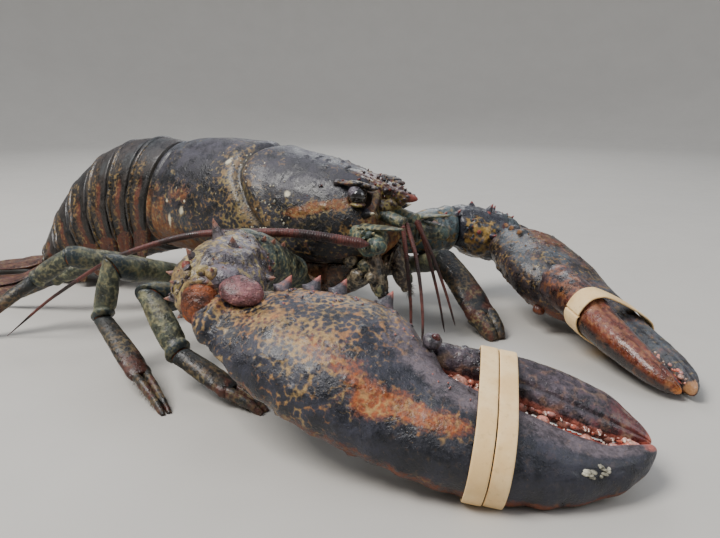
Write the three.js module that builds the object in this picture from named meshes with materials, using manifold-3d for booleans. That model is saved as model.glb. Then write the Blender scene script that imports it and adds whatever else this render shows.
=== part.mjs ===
// American lobster, life size, standing on a flat floor with banded claws: every shell plate, limb length
// and feeler is its own closed solid. Millimetres, +Z up, nose towards +X, floor at Z = 0.
// Places are first given in a body frame whose origin is on the floor under the rear edge of the carapace.
import * as THREE from "three";
import { mergeVertices } from "three/addons/utils/BufferGeometryUtils.js";
import Module from "manifold-3d";

const wasm = await Module();
wasm.setup();

// Driving sizes
const GAP = 0.3;
const HIP_Z = 28;
const EYE_RADIUS = 7.2;
const CRUSHER_LENGTH = 270;
const CUTTER_LENGTH = 275;
const CRUSHER_BAND_WIDTH = 10;
const CUTTER_BAND_WIDTH = 17;
const BAND_THICK = 1.8;
// From the middle of one band on the crusher to the middle of the other
const BAND_SPACING = 10.8;

// Materials, in the photographed colours
const finish = (hex, roughness) =>
  new THREE.MeshStandardMaterial({ color: hex, roughness, metalness: 0 });
const SHELL = finish(0x2c2a2c, 0.35);
const TAIL = finish(0x3a2b22, 0.4);
const CLAW = finish(0x35302c, 0.3);
const LIMB = finish(0x4b4a33, 0.45);
const BELLY = finish(0x8a5a36, 0.5);
const FEELER = finish(0x4a2a22, 0.4);
const EYE = finish(0x120d0a, 0.1);
const BAND = finish(0xdcc08e, 0.6);

const V = (x, y, z) => new THREE.Vector3(x, y, z);
const mix = (a, b, t) => a.clone().lerp(b, t);
const unit = (a, b) => b.clone().sub(a).normalize();
const UP = V(0, 0, 1);
const radians = THREE.MathUtils.degToRad;

// A smooth curve through the values at the given stations, with no overshoot: Hermite pieces whose
// slope at a station is the harmonic mean of its neighbours' slopes.
function profile(at, values) {
  const last = at.length - 1;
  const rise = at.slice(1).map((x, i) => (values[i + 1] - values[i]) / (x - at[i]));
  const slope = at.map((_, i) => {
    if (i === 0) return rise[0];
    if (i === last) return rise[last - 1];
    const product = rise[i - 1] * rise[i];
    return product <= 0 ? 0 : (2 * product) / (rise[i - 1] + rise[i]);
  });
  return (x) => {
    const place = Math.min(Math.max(x, at[0]), at[last]);
    let i = 0;
    while (i < last - 1 && place > at[i + 1]) i++;
    const span = at[i + 1] - at[i];
    const t = (place - at[i]) / span;
    const s = 1 - t;
    return (
      values[i] * s * s * (1 + 2 * t) +
      values[i + 1] * t * t * (3 - 2 * t) +
      slope[i] * span * t * s * s -
      slope[i + 1] * span * t * t * s
    );
  };
}

// The same through points: a route in space
function route(at, points) {
  const [x, y, z] = [0, 1, 2].map((k) => profile(at, points.map((p) => p[k])));
  return (t) => V(x(t), y(t), z(t));
}

const steps = (count) => Array.from({ length: count + 1 }, (_, i) => i / count);

// A closed body: the grid of a cylinder, each ring at a station, each vertex moved to skin(station, angle,
// share), where share is 1 on the wall and 0 at the centre of an end.
function loft(skin, around, stations) {
  const shell = new THREE.CylinderGeometry(1, 1, 1, around, stations.length - 1);
  shell.deleteAttribute("normal");
  shell.deleteAttribute("uv");
  const place = shell.getAttribute("position");
  for (let i = 0; i < place.count; i++) {
    const ring = Math.round((0.5 - place.getY(i)) * (stations.length - 1));
    const angle = Math.atan2(place.getZ(i), place.getX(i));
    const p = skin(stations[ring], angle, Math.hypot(place.getX(i), place.getZ(i)));
    place.setXYZ(i, p.x, p.y, p.z);
  }
  return shell;
}

// Manifold solids from three.js geometry, turned to face out
function solid(geometry) {
  for (const name of ["normal", "uv"]) geometry.deleteAttribute(name);
  const merged = mergeVertices(geometry, 1e-3);
  const vertProperties = merged.getAttribute("position").array;
  const triVerts = new Uint32Array(merged.index.array);
  const made = new wasm.Manifold(new wasm.Mesh({ numProp: 3, vertProperties, triVerts }));
  if (made.volume() > 0) return made;
  for (let i = 0; i < triVerts.length; i += 3) {
    [triVerts[i + 1], triVerts[i + 2]] = [triVerts[i + 2], triVerts[i + 1]];
  }
  return new wasm.Manifold(new wasm.Mesh({ numProp: 3, vertProperties, triVerts }));
}

const fuse = (...pieces) => pieces.flat().map(solid).reduce((a, b) => a.add(b));
const largest = (made) => made.decompose().reduce((a, b) => (b.volume() > a.volume() ? b : a));

function geometryOf(made) {
  const mesh = made.getMesh();
  const place = new Float32Array(mesh.numVert * 3);
  for (let i = 0; i < mesh.numVert; i++) {
    place.set(mesh.vertProperties.subarray(i * mesh.numProp, i * mesh.numProp + 3), i * 3);
  }
  const geometry = new THREE.BufferGeometry();
  geometry.setAttribute("position", new THREE.BufferAttribute(place, 3));
  geometry.setIndex(new THREE.BufferAttribute(new Uint32Array(mesh.triVerts), 1));
  return geometry;
}

// A solid with each vertex moved outwards, to cut its neighbours clear of it
function grown(made, by = GAP * 1.4) {
  const geometry = geometryOf(made);
  geometry.computeVertexNormals();
  const place = geometry.getAttribute("position");
  const normal = geometry.getAttribute("normal");
  for (let i = 0; i < place.count; i++) {
    place.setXYZ(
      i,
      place.getX(i) + normal.getX(i) * by,
      place.getY(i) + normal.getY(i) * by,
      place.getZ(i) + normal.getZ(i) * by,
    );
  }
  return solid(geometry);
}

const clear = (made, ...others) =>
  others.reduce((left, o) => left.subtract(grown(o)).subtract(o), made);

const ground = new THREE.BoxGeometry(2000, 2000, 400);
ground.translate(0, 0, -200);
const GROUND = solid(ground);
const onFloor = (made) => made.subtract(GROUND);

const body = new THREE.Group();
const nodes = {};
function node(name, made, material) {
  nodes[name] = largest(made);
  const mesh = new THREE.Mesh(geometryOf(nodes[name]), material);
  mesh.name = name;
  body.add(mesh);
}

// Small forms that grow from a surface, with the root sunk in
function spine(root, direction, radius, height, sides = 6) {
  const cone = new THREE.ConeGeometry(radius, height * 1.5, sides);
  cone.translate(0, height * 0.25, 0);
  const turn = new THREE.Quaternion().setFromUnitVectors(V(0, 1, 0), direction.clone().normalize());
  cone.applyQuaternion(turn);
  cone.translate(root.x, root.y, root.z);
  return cone;
}

function knob(centre, rx, ry, rz, around = 7, along = 5) {
  const ball = new THREE.SphereGeometry(1, around, along);
  ball.scale(rx, ry, rz);
  ball.translate(centre.x, centre.y, centre.z);
  return ball;
}

// A length of limb from one joint to the next. Its end faces lie in the planes with the given normals, half
// a gap off each joint, and width and depth are half sizes along it, as profiles from 0 to 1.
function segment({ from, to, fromNormal, toNormal, width, depth, around, stations, bow = 0 }) {
  const along = unit(from, to);
  const side = new THREE.Vector3().crossVectors(along, UP).normalize();
  const top = new THREE.Vector3().crossVectors(side, along);
  const a = from.clone().addScaledVector(along, GAP / 2 / along.dot(fromNormal));
  const b = to.clone().addScaledVector(along, -GAP / 2 / along.dot(toNormal));
  const skin = (t, angle, share) => {
    const offset = side.clone().multiplyScalar(Math.cos(angle) * share * width(t));
    offset.addScaledVector(top, Math.sin(angle) * share * depth(t));
    const lean =
      ((1 - t) * offset.dot(fromNormal)) / along.dot(fromNormal) +
      (t * offset.dot(toNormal)) / along.dot(toNormal);
    offset.addScaledVector(top, bow * 4 * t * (1 - t));
    return mix(a, b, t).add(offset).addScaledVector(along, -lean);
  };
  return loft(skin, around, stations);
}

const bisector = (a, b) => a.clone().add(b).normalize();

// Carapace: rings from the rear edge to the face, each through a point on the back and one on the belly
const CARAPACE = {
  at: [0, 30, 65, 105, 148, 190, 222, 240],
  backZ: [157, 162, 163, 161, 155.5, 148.5, 137.5, 128],
  bellyX: [-14, 18, 58, 102, 148, 195, 226, 243],
  bellyZ: [50, 48, 48, 49, 52, 58, 66, 78],
  halfWidth: [50, 56, 58.5, 58, 54, 46, 35, 25],
  widest: 0.4,
};
const backZ = profile(CARAPACE.at, CARAPACE.backZ);
const bellyX = profile(CARAPACE.at, CARAPACE.bellyX);
const bellyZ = profile(CARAPACE.at, CARAPACE.bellyZ);
const halfWidth = profile(CARAPACE.at, CARAPACE.halfWidth);

// The cervical groove: its place along the back by the angle round the ring, 90 degrees on the midline
const grooveX = profile([-40, 0, 20, 45, 60, 90], [176, 148, 130, 113, 112, 124]);
const GROOVE_DEPTH = 3.2;
const GROOVE_HALF = 5.5;
function grooveRelief(x, angle) {
  const degrees = THREE.MathUtils.radToDeg(angle);
  const folded = degrees > 90 ? 180 - degrees : degrees < -90 ? -180 - degrees : degrees;
  if (folded < -40) return 0;
  const off = (x - grooveX(folded)) / GROOVE_HALF;
  return -GROOVE_DEPTH * Math.exp(-off * off);
}

function carapaceSkin(x, angle, share) {
  const back = V(x, 0, backZ(x));
  const belly = V(bellyX(x), 0, bellyZ(x));
  const centre = mix(belly, back, CARAPACE.widest);
  const relief = grooveRelief(x, angle);
  const rise = Math.sin(angle);
  const arm = rise > 0 ? back.sub(centre) : belly.sub(centre);
  const tuck = rise > 0 ? 1 : 1 - 0.16 * rise * rise;
  const flat = rise > 0 ? Math.abs(rise) : Math.pow(Math.abs(rise), 0.75);
  const w = (halfWidth(x) + relief) * Math.cos(angle) * share * tuck;
  const arch = (1 + relief / arm.length()) * flat * share;
  return centre.addScaledVector(arm, arch).add(V(0, w, 0));
}

// Rostrum: a keeled beak with teeth along both edges
const ROSTRUM = {
  at: [186, 205, 222, 240, 256, 268],
  halfWidth: [20, 15, 10.5, 8, 5, 1.2],
  halfDepth: [10, 10, 9, 7.5, 5.5, 1.6],
  z: [138, 135, 131, 126.5, 123, 121.5],
  toothX: [216, 230, 243],
};
const rostrumHalf = profile(ROSTRUM.at, ROSTRUM.halfWidth);
const rostrumZ = profile(ROSTRUM.at, ROSTRUM.z);
function rostrum() {
  const deep = profile(ROSTRUM.at, ROSTRUM.halfDepth);
  const skin = (x, angle, share) =>
    V(x, Math.cos(angle) * share * rostrumHalf(x), rostrumZ(x) + Math.sin(angle) * share * deep(x));
  const toothRoot = (x, s) => V(x, s * (rostrumHalf(x) - 1), rostrumZ(x) + 1);
  const teeth = ROSTRUM.toothX.flatMap((x) =>
    [-1, 1].map((s) => spine(toothRoot(x, s), V(1, s * 0.55, 0.25), 3, 8, 5)),
  );
  return [loft(skin, 8, ROSTRUM.at), ...teeth];
}

const EYES = { x: 230, y: 28, z: 124 };
const stations = (list, extra) => [...list, ...extra].sort((a, b) => a - b);
const carapaceStations = stations(
  CARAPACE.at,
  [12, 46, 88, 97, 113, 120, 128, 136, 142, 162, 176, 206, 214, 231],
);
const carapaceSpines = [-1, 1].flatMap((s) => [
  spine(V(208, s * 27, 134), V(1, s * 0.25, 0.35), 3.6, 9, 6),
  spine(V(236, s * 25, 110), V(1, s * 0.35, 0.05), 4, 10, 6),
]);
const eyeBall = (s) => knob(V(EYES.x, s * EYES.y, EYES.z), EYE_RADIUS, EYE_RADIUS, EYE_RADIUS, 10, 7);
const socket = (s) => knob(V(EYES.x + 2, s * (EYES.y + 0.5), EYES.z), 12, 12, 10.5, 12, 8);

// The carapace sits on the underside of the thorax along a slanting plane
const SEAT = { z: 54, rise: 0.05 };
function seat(lift, side) {
  const slab = new THREE.BoxGeometry(900, 900, 300);
  slab.translate(0, 0, side * 150);
  slab.rotateY(-Math.atan(SEAT.rise));
  slab.translate(0, 0, SEAT.z + lift);
  return solid(slab);
}
const carapace = fuse(loft(carapaceSkin, 26, carapaceStations), rostrum(), carapaceSpines)
  .subtract(solid(socket(1)))
  .subtract(solid(socket(-1)))
  .subtract(seat(0, -1));
node("carapace", carapace, SHELL);

// Limb places: each walking leg's hip, knee, wrist and foot, from behind the claws to the rear
const WALKING = {
  R1: [[138, -34, HIP_Z], [146, -168, 60], [181, -174, 26], [254, -168, 0]],
  R2: [[104, -34, HIP_Z], [108, -172, 78], [104, -181, 40], [203, -206, 0]],
  R3: [[70, -34, HIP_Z], [14, -149, 69], [-19, -163, 46], [-50, -226, 0]],
  R4: [[38, -32, HIP_Z], [-20, -100, 50], [-58, -124, 32], [-124, -152, 0]],
  L1: [[128, 39, HIP_Z], [199, 108, 36], [250, 82, 53], [323, 46, 0]],
  L2: [[104, 34, HIP_Z], [92, 152, 75], [86, 176, 42], [72, 232, 0]],
  L3: [[70, 34, HIP_Z], [18, 142, 70], [-9, 162, 46], [-47, 222, 0]],
  L4: [[38, 32, HIP_Z], [-24, 98, 52], [-61, 120, 34], [-122, 152, 0]],
};
// Claw arms: hip, end of the short first length, elbow and wrist
const ARMS = {
  R: [[174, -38, 42], [186, -62, 64], [200, -128, 88], [230, -193, 77]],
  L: [[174, 38, 42], [188, 62, 66], [230, 134, 74], [272, 178, 60]],
};
const pointsOf = (list) => list.map((p) => V(...p));

// Underside of the thorax, with a socket stub for each limb
function underside() {
  const half = profile([14, 60, 140, 190, 232], [20, 30, 30, 26, 14]);
  const low = profile([14, 60, 140, 190, 232], [30, 22, 21, 28, 50]);
  const skin = (x, angle, share) => {
    const top = 86;
    const middle = (top + low(x)) / 2;
    return V(x, Math.cos(angle) * share * half(x), middle + Math.sin(angle) * share * (top - middle));
  };
  const trunk = loft(skin, 12, [14, 30, 60, 100, 140, 170, 190, 212, 232]);
  const stub = (list, radius) => {
    const [hip, next] = pointsOf(list);
    const out = unit(hip, next);
    const inner = V(hip.x, hip.y * 0.3, hip.z + 8);
    return segment({
      from: inner,
      to: hip,
      fromNormal: unit(inner, hip),
      toNormal: out,
      width: () => radius,
      depth: () => radius * 0.92,
      around: 7,
      stations: [0, 1],
    });
  };
  const stubs = [
    ...Object.values(WALKING).map((list) => stub(list, 9.5)),
    ...Object.values(ARMS).map((list) => stub(list, 15)),
  ];
  return fuse(trunk, stubs).subtract(seat(-GAP, 1));
}
node("thorax_underside", underside(), BELLY);

// Walking legs: an upper length, a short middle length and a foot. The first two pairs end in small pincers.
const JOINT = { hip: 7.6, knee: 8.6, wrist: 7.6, foot: 2.4 };
function walkingLeg(name, list) {
  const [hip, knee, wrist, foot] = pointsOf(list);
  const pincers = name.endsWith("1") || name.endsWith("2");
  const scale = name.endsWith("1") ? 1.15 : name.endsWith("4") ? 0.88 : 1;
  // The raised left foot is seen broadside: its pincer is the broadest and bluntest
  const raised = name === "L1";
  const broad = raised ? 1.5 : 1;
  const bow = raised ? 10 : 1.5;
  const upper = unit(hip, knee);
  const middle = unit(knee, wrist);
  const lower = unit(wrist, foot);
  const kneeCut = bisector(upper, middle);
  const wristCut = bisector(middle, lower);
  const size = (at, values) => profile(at, values.map((v) => v * scale));
  const footSize = (at, values) => profile(at, values.map((v) => v * scale * broad));
  const upperPart = segment({
    from: hip,
    to: knee,
    fromNormal: upper,
    toNormal: kneeCut,
    width: size([0, 0.12, 0.3, 0.8, 1], [JOINT.hip, 8.4, 7.4, 9, JOINT.knee]),
    depth: size([0, 0.12, 0.3, 0.8, 1], [JOINT.hip * 0.9, 8, 7.6, 9.6, JOINT.knee]),
    around: 8,
    stations: [0, 0.1, 0.18, 0.4, 0.75, 0.92, 1],
    bow: 3,
  });
  const middlePart = segment({
    from: knee,
    to: wrist,
    fromNormal: kneeCut,
    toNormal: wristCut,
    width: size([0, 0.5, 1], [6.8, 8, JOINT.wrist]),
    depth: size([0, 0.5, 1], [6.8, 8.4, JOINT.wrist]),
    around: 8,
    stations: [0, 0.3, 0.7, 1],
  });
  const foreEnd = raised ? 0.73 : pincers ? 0.62 : 0.66;
  const spread = raised ? 0.95 : 0.55;
  const lowerPart = [
    segment({
      from: wrist,
      to: mix(wrist, foot, foreEnd + 0.02),
      fromNormal: wristCut,
      toNormal: lower,
      width: footSize([0, 0.3, 0.8, 1], pincers ? [6.2, 7.4, 8.6, 7.6] : [6, 6.4, 5.4, 4.6]),
      depth: size([0, 0.3, 1], [6, 6, 4.6]),
      around: 8,
      stations: [0, 0.3, 0.8, 1],
      bow: bow * 0.3,
    }),
  ];
  const side = new THREE.Vector3().crossVectors(lower, UP).normalize();
  const root = mix(wrist, foot, foreEnd);
  const fingers = pincers ? [-3.9, 3.9] : [0];
  fingers.forEach((shift) => {
    const start = root.clone().addScaledVector(side, shift * scale * broad);
    const end = foot.clone().addScaledVector(side, shift * spread * scale * broad);
    lowerPart.push(
      segment({
        from: start,
        to: end,
        fromNormal: unit(start, end),
        toNormal: unit(start, end),
        width: footSize([0, 1], [pincers ? 3.1 : 4, JOINT.foot * 0.8]),
        depth: size([0, 1], [3.8, JOINT.foot]),
        around: 6,
        stations: [0, 0.5, 1],
        bow,
      }),
    );
  });
  node("leg_" + name + "_upper", clear(fuse(upperPart), nodes.carapace), LIMB);
  node("leg_" + name + "_middle", fuse(middlePart), LIMB);
  node("leg_" + name + "_foot", onFloor(fuse(lowerPart)), LIMB);
}
Object.entries(WALKING).forEach(([name, list]) => walkingLeg(name, list));

// Claws, drawn flat: x runs from the wrist to the tip, y towards the movable finger, z through the palm.
// Sizes along the claw are shares of its length.
const CRUSHER = {
  side: "R",
  length: CRUSHER_LENGTH,
  tip: [478, -107, 19.5],
  roll: 28,
  underside: 0.68,
  hinge: 0.535,
  outerAt: [0, 0.06, 0.2, 0.4, 0.62, 0.8, 0.92, 0.98, 1],
  outer: [-17, -27, -47, -60, -64, -55, -37, -20, -8],
  innerAt: [0, 0.07, 0.2, 0.36, 0.45, 0.53, 0.57, 0.7, 0.88, 0.95, 1],
  inner: [12, 16, 29, 34.5, 28.5, 13, -2, -9, -12, -5, 2],
  thickAt: [0, 0.1, 0.22, 0.38, 0.52, 0.62, 0.75, 0.9, 0.97, 1],
  thick: [8, 11.5, 24, 29.5, 25, 26, 22, 14, 9, 4],
  liftAt: [0, 1],
  lift: [0, 0],
  fingerAt: [0.5, 0.53, 0.6, 0.75, 0.88, 0.95, 0.99],
  fingerOuter: [15, 19, 23.5, 29.5, 25, 14.5, 5],
  fingerInner: [4, 2, 1, -2, -5, -2.5, 0],
  fingerThick: [9, 13, 14.5, 13, 10, 6, 3],
  fingerLift: [0, 0, 0, 0, 0, 0, 0],
  teeth: { count: 9, from: 0.6, to: 0.95, radius: 4.8, end: 2.4 },
  spines: { at: [0.16, 0.225, 0.285, 0.395], across: 0.9, high: 0.42, height: 9 },
  boss: { at: [24, 6, 15], radii: [12, 7] },
};
const CUTTER = {
  side: "L",
  length: CUTTER_LENGTH,
  tip: [480.5, 6, 9.5],
  roll: 16,
  underside: 0.87,
  hinge: 0.46,
  outerAt: [0, 0.06, 0.2, 0.4, 0.6, 0.8, 0.93, 1],
  outer: [-16, -24, -37, -43, -40, -31, -19, -5],
  innerAt: [0, 0.07, 0.2, 0.34, 0.41, 0.46, 0.5, 0.55, 0.7, 0.9, 1],
  inner: [16, 29, 40, 44, 41, 35, 20, 4, -1, -3, 0],
  thickAt: [0, 0.08, 0.22, 0.36, 0.55, 0.75, 0.92, 1],
  thick: [14, 21, 29, 29, 20, 15, 10.5, 4.5],
  liftAt: [0, 0.25, 0.6, 0.8, 1],
  lift: [0, -1.5, -6.5, -4, -0.5],
  fingerAt: [0.43, 0.46, 0.55, 0.72, 0.87, 0.95, 0.985],
  fingerOuter: [30, 36, 37, 33, 25, 17, 8],
  fingerInner: [16, 9, 6, 4, 3, 3, 3],
  fingerThick: [11, 17, 18, 15, 11, 7, 3],
  fingerLift: [3, 4, 4.5, 0, -3, -4, -4.5],
  teeth: { count: 9, from: 0.58, to: 0.94, radius: 3.3, end: 2 },
  spines: { at: [0.07, 0.13, 0.2], across: 0.6, high: 0.75, height: 6 },
  boss: { at: [16, 2, 12], radii: [9, 6] },
};

// The claw's own axes in the body frame: along it, towards the movable finger, and up out of the palm
function clawAxes(claw) {
  const wrist = V(...ARMS[claw.side][3]);
  const along = unit(wrist, V(...claw.tip));
  const level = new THREE.Vector3().crossVectors(UP, along).normalize();
  if (claw.side === "L") level.negate();
  const top = new THREE.Vector3().crossVectors(along, level).normalize();
  if (top.z < 0) top.negate();
  const roll = radians(claw.roll);
  const inward = level.clone().multiplyScalar(Math.cos(roll)).addScaledVector(top, Math.sin(roll));
  const upward = top.clone().multiplyScalar(Math.cos(roll)).addScaledVector(level, -Math.sin(roll));
  const place = (x, y, z) =>
    wrist.clone().addScaledVector(along, x).addScaledVector(inward, y).addScaledVector(upward, z);
  const turn = (x, y, z) =>
    V(0, 0, 0).addScaledVector(along, x).addScaledVector(inward, y).addScaledVector(upward, z);
  return { wrist, along, inward, upward, place, turn };
}

// A flattened form: its two edges, its thickness and the lift of its middle are profiles along the claw
function blade(axes, claw, { outer, inner, thick, lift }, around, at) {
  const skin = (share, angle, spread) => {
    const middle = (outer(share) + inner(share)) / 2;
    const half = (inner(share) - outer(share)) / 2;
    const side = Math.sin(angle) > 0 ? 1 : -claw.underside;
    const swell = side * Math.pow(Math.abs(Math.sin(angle)), 0.9);
    return axes.place(
      share * claw.length + GAP / 2,
      middle + half * Math.cos(angle) * spread,
      thick(share) * swell * spread + lift(share),
    );
  };
  return loft(skin, around, at);
}

// Rings of the palm as far as the hinge, and beyond it; close rings stand at the hinge itself
const PALM_RINGS = [0, 0.04, 0.09, 0.16, 0.26, 0.36, 0.42];
const POLLEX_RINGS = [0.62, 0.7, 0.8, 0.88, 0.94, 0.975, 1];
const HINGE_RINGS = [-0.06, -0.03, -0.005, 0.015, 0.035];
const PALM_SIDES = 18;
const FINGER_SIDES = 14;
const SPINE_RADIUS = 5.5;

function buildClaw(claw) {
  const axes = clawAxes(claw);
  const palmShape = {
    outer: profile(claw.outerAt, claw.outer),
    inner: profile(claw.innerAt, claw.inner),
    thick: profile(claw.thickAt, claw.thick),
    lift: profile(claw.liftAt, claw.lift),
  };
  const fingerShape = {
    outer: profile(claw.fingerAt, claw.fingerOuter),
    inner: profile(claw.fingerAt, claw.fingerInner),
    thick: profile(claw.fingerAt, claw.fingerThick),
    lift: profile(claw.fingerAt, claw.fingerLift),
  };
  const hingeRings = HINGE_RINGS.map((off) => claw.hinge + off).filter((share) => share > PALM_RINGS.at(-1));
  const palmRings = stations(PALM_RINGS, [...hingeRings, ...POLLEX_RINGS]);
  const palm = blade(axes, claw, palmShape, PALM_SIDES, palmRings);
  const fingerRings = stations(claw.fingerAt, [claw.hinge + 0.015, 0.67, 0.81, 0.92]);
  const finger = blade(axes, claw, fingerShape, FINGER_SIDES, fingerRings);

  // Teeth along the two facing edges, by turns on the palm's and on the finger's
  const { count, from, to, radius, end } = claw.teeth;
  const palmTeeth = [];
  const fingerTeeth = [];
  for (let i = 0; i < count; i++) {
    const share = from + ((to - from) * i) / (count - 1);
    const size = radius + (end - radius) * (i / (count - 1));
    const onFinger = i % 2 === 1;
    const shape = onFinger ? fingerShape : palmShape;
    const y = shape.inner(share) + size * (onFinger ? 0.25 : -0.1);
    const ball = knob(axes.place(share * claw.length, y, shape.lift(share)), size, size, size, 6, 4);
    (onFinger ? fingerTeeth : palmTeeth).push(ball);
  }

  // Spines along the palm's inner edge, the boss at its root and the knob of the hinge
  const { at, across, high, height } = claw.spines;
  const spines = at.map((share) => {
    const lifted = palmShape.thick(share) * high + palmShape.lift(share);
    const root = axes.place(share * claw.length, palmShape.inner(share) * across, lifted);
    return spine(root, axes.turn(0.25, 0.75, 0.6), SPINE_RADIUS, height);
  });
  const [bossWide, bossHigh] = claw.boss.radii;
  const boss = knob(axes.place(...claw.boss.at), bossWide, bossWide, bossHigh, 8, 5);
  const hingeShare = claw.hinge - 0.012;
  const hingePlace = axes.place(
    hingeShare * claw.length,
    palmShape.inner(hingeShare) * 0.7,
    palmShape.thick(hingeShare) * 0.82 + palmShape.lift(hingeShare),
  );
  const hingeKnob = knob(hingePlace, 5.5, 5.5, 4.5, 8, 6);

  const fingerBody = fuse(finger, fingerTeeth);
  const palmBody = clear(fuse(palm, palmTeeth, spines, boss, hingeKnob), fingerBody);
  node("claw_" + claw.side + "_palm", onFloor(palmBody), CLAW);
  node("claw_" + claw.side + "_finger", onFloor(fingerBody), CLAW);
  return axes;
}
const crusherAxes = buildClaw(CRUSHER);
const cutterAxes = buildClaw(CUTTER);

// Claw arms: a short first length, the upper arm and the spiny wrist piece that carries the palm
function clawArm(side) {
  const [hip, mid, elbow, wrist] = pointsOf(ARMS[side]);
  const outward = side === "R" ? -1 : 1;
  const first = unit(hip, mid);
  const second = unit(mid, elbow);
  const third = unit(elbow, wrist);
  const midCut = bisector(first, second);
  const elbowCut = bisector(second, third);
  const ischium = segment({
    from: hip,
    to: mid,
    fromNormal: first,
    toNormal: midCut,
    width: profile([0, 0.5, 1], [13, 12.5, 14]),
    depth: profile([0, 0.5, 1], [12, 11.5, 13]),
    around: 12,
    stations: [0, 0.3, 0.7, 1],
  });
  const merus = segment({
    from: mid,
    to: elbow,
    fromNormal: midCut,
    toNormal: elbowCut,
    width: profile([0, 0.25, 0.8, 1], [13.5, 16, 22, 20]),
    depth: profile([0, 0.25, 0.8, 1], [13, 16, 23, 21]),
    around: 12,
    stations: [0, 0.2, 0.45, 0.7, 0.88, 1],
  });
  const carpus = segment({
    from: elbow,
    to: wrist,
    fromNormal: elbowCut,
    toNormal: third,
    width: profile([0, 0.3, 0.7, 1], [19, 28, 30, 17]),
    depth: profile([0, 0.3, 0.7, 1], [19, 25, 26, 17]),
    around: 12,
    stations: [0, 0.12, 0.3, 0.5, 0.7, 0.88, 1],
  });

  // Spines along the front of the upper arm
  const ahead = side === "R" ? 11 : 14;
  const merusSpines = [0.45, 0.66, 0.85].map((t) =>
    spine(mix(mid, elbow, t).add(V(ahead, 0, 14)), V(0.8, outward * 0.3, 0.7), 5, 9),
  );

  // Spines of the wrist piece: place along it, height over its middle and place to the fore, then the
  // direction in the same axes, radius and height
  const level = new THREE.Vector3().crossVectors(third, UP);
  const top = new THREE.Vector3().crossVectors(level, third).normalize();
  const fore = new THREE.Vector3().crossVectors(third, top).multiplyScalar(outward).normalize();
  const at = (t, up, ahead) => mix(elbow, wrist, t).addScaledVector(top, up).addScaledVector(fore, ahead);
  const turn = (along, up, ahead) =>
    V(0, 0, 0).addScaledVector(third, along).addScaledVector(top, up).addScaledVector(fore, ahead);
  const wristSpines = [
    [[0.3, 22, -6], [-0.1, 1, -0.3], 6.5, 14],
    [[0.5, 23, 8], [0.3, 1, 0.2], 5, 8],
    [[0.7, 20, -12], [0.5, 1, -0.4], 5, 9],
    [[0.62, 6, -26], [0.4, 0.3, -1], 5, 9],
    [[0.85, -2, -22], [0.6, 0, -1], 4.5, 8],
    [[0.5, 2, 27], [0.3, 0.2, 1], 5, 9],
  ].map(([place, direction, radius, height]) => spine(at(...place), turn(...direction), radius, height));
  const condyle = knob(at(0.86, 14, 12), 13, 10, 9, 8, 5);

  node("arm_" + side + "_first", clear(fuse(ischium), nodes.carapace), CLAW);
  node("arm_" + side + "_upper", clear(fuse(merus, merusSpines), nodes.carapace), CLAW);
  const neighbours = [nodes["claw_" + side + "_palm"], nodes["arm_" + side + "_upper"]];
  node("arm_" + side + "_wrist", clear(fuse(carpus, wristSpines, condyle), ...neighbours), CLAW);
}
clawArm("R");
clawArm("L");

// Tail: six plates that arch down and bend towards the right. Each ring passes through a point on the back
// and one on the belly, and leans with the bend.
const TAIL_RINGS = {
  back: [
    [-0.5, 0, 156],
    [-38, -2, 159],
    [-77, -7, 154],
    [-115, -15, 138],
    [-148, -26, 110],
    [-172, -36, 77],
    [-188, -45, 41],
  ],
  belly: [
    [-14.5, 0, 46],
    [-42, -2, 40],
    [-66, -6, 33],
    [-90, -13, 27],
    [-113, -22, 21],
    [-139, -32, 14],
    [-170, -42, 9],
  ],
  halfWidth: [48, 48.5, 48, 46, 43, 38.5, 33],
  bend: [0, 5, 10, 15, 20, 24, 27],
};
const ringAt = TAIL_RINGS.halfWidth.map((_, i) => i);
const tailBack = route(ringAt, TAIL_RINGS.back);
const tailBelly = route(ringAt, TAIL_RINGS.belly);
const tailHalf = profile(ringAt, TAIL_RINGS.halfWidth);
const tailBend = profile(ringAt, TAIL_RINGS.bend);

function tailSkin(ring, step) {
  // step: how far the plate stands proud, by the place along it
  return (s, angle, share) => {
    const back = tailBack(s);
    const belly = tailBelly(s);
    const centre = mix(belly, back, 0.42);
    const bend = radians(tailBend(s));
    const side = V(Math.sin(bend), -Math.cos(bend), 0).negate();
    const rise = Math.sin(angle);
    const arm = (rise > 0 ? back : belly).clone().sub(centre);
    const proud = 1 + step(s - ring) / 45;
    const reach = Math.abs(rise) * share * proud;
    return centre
      .addScaledVector(side, tailHalf(s) * Math.cos(angle) * share * proud)
      .addScaledVector(arm, rise > 0 ? reach : Math.pow(reach, 0.8));
  };
}

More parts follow.
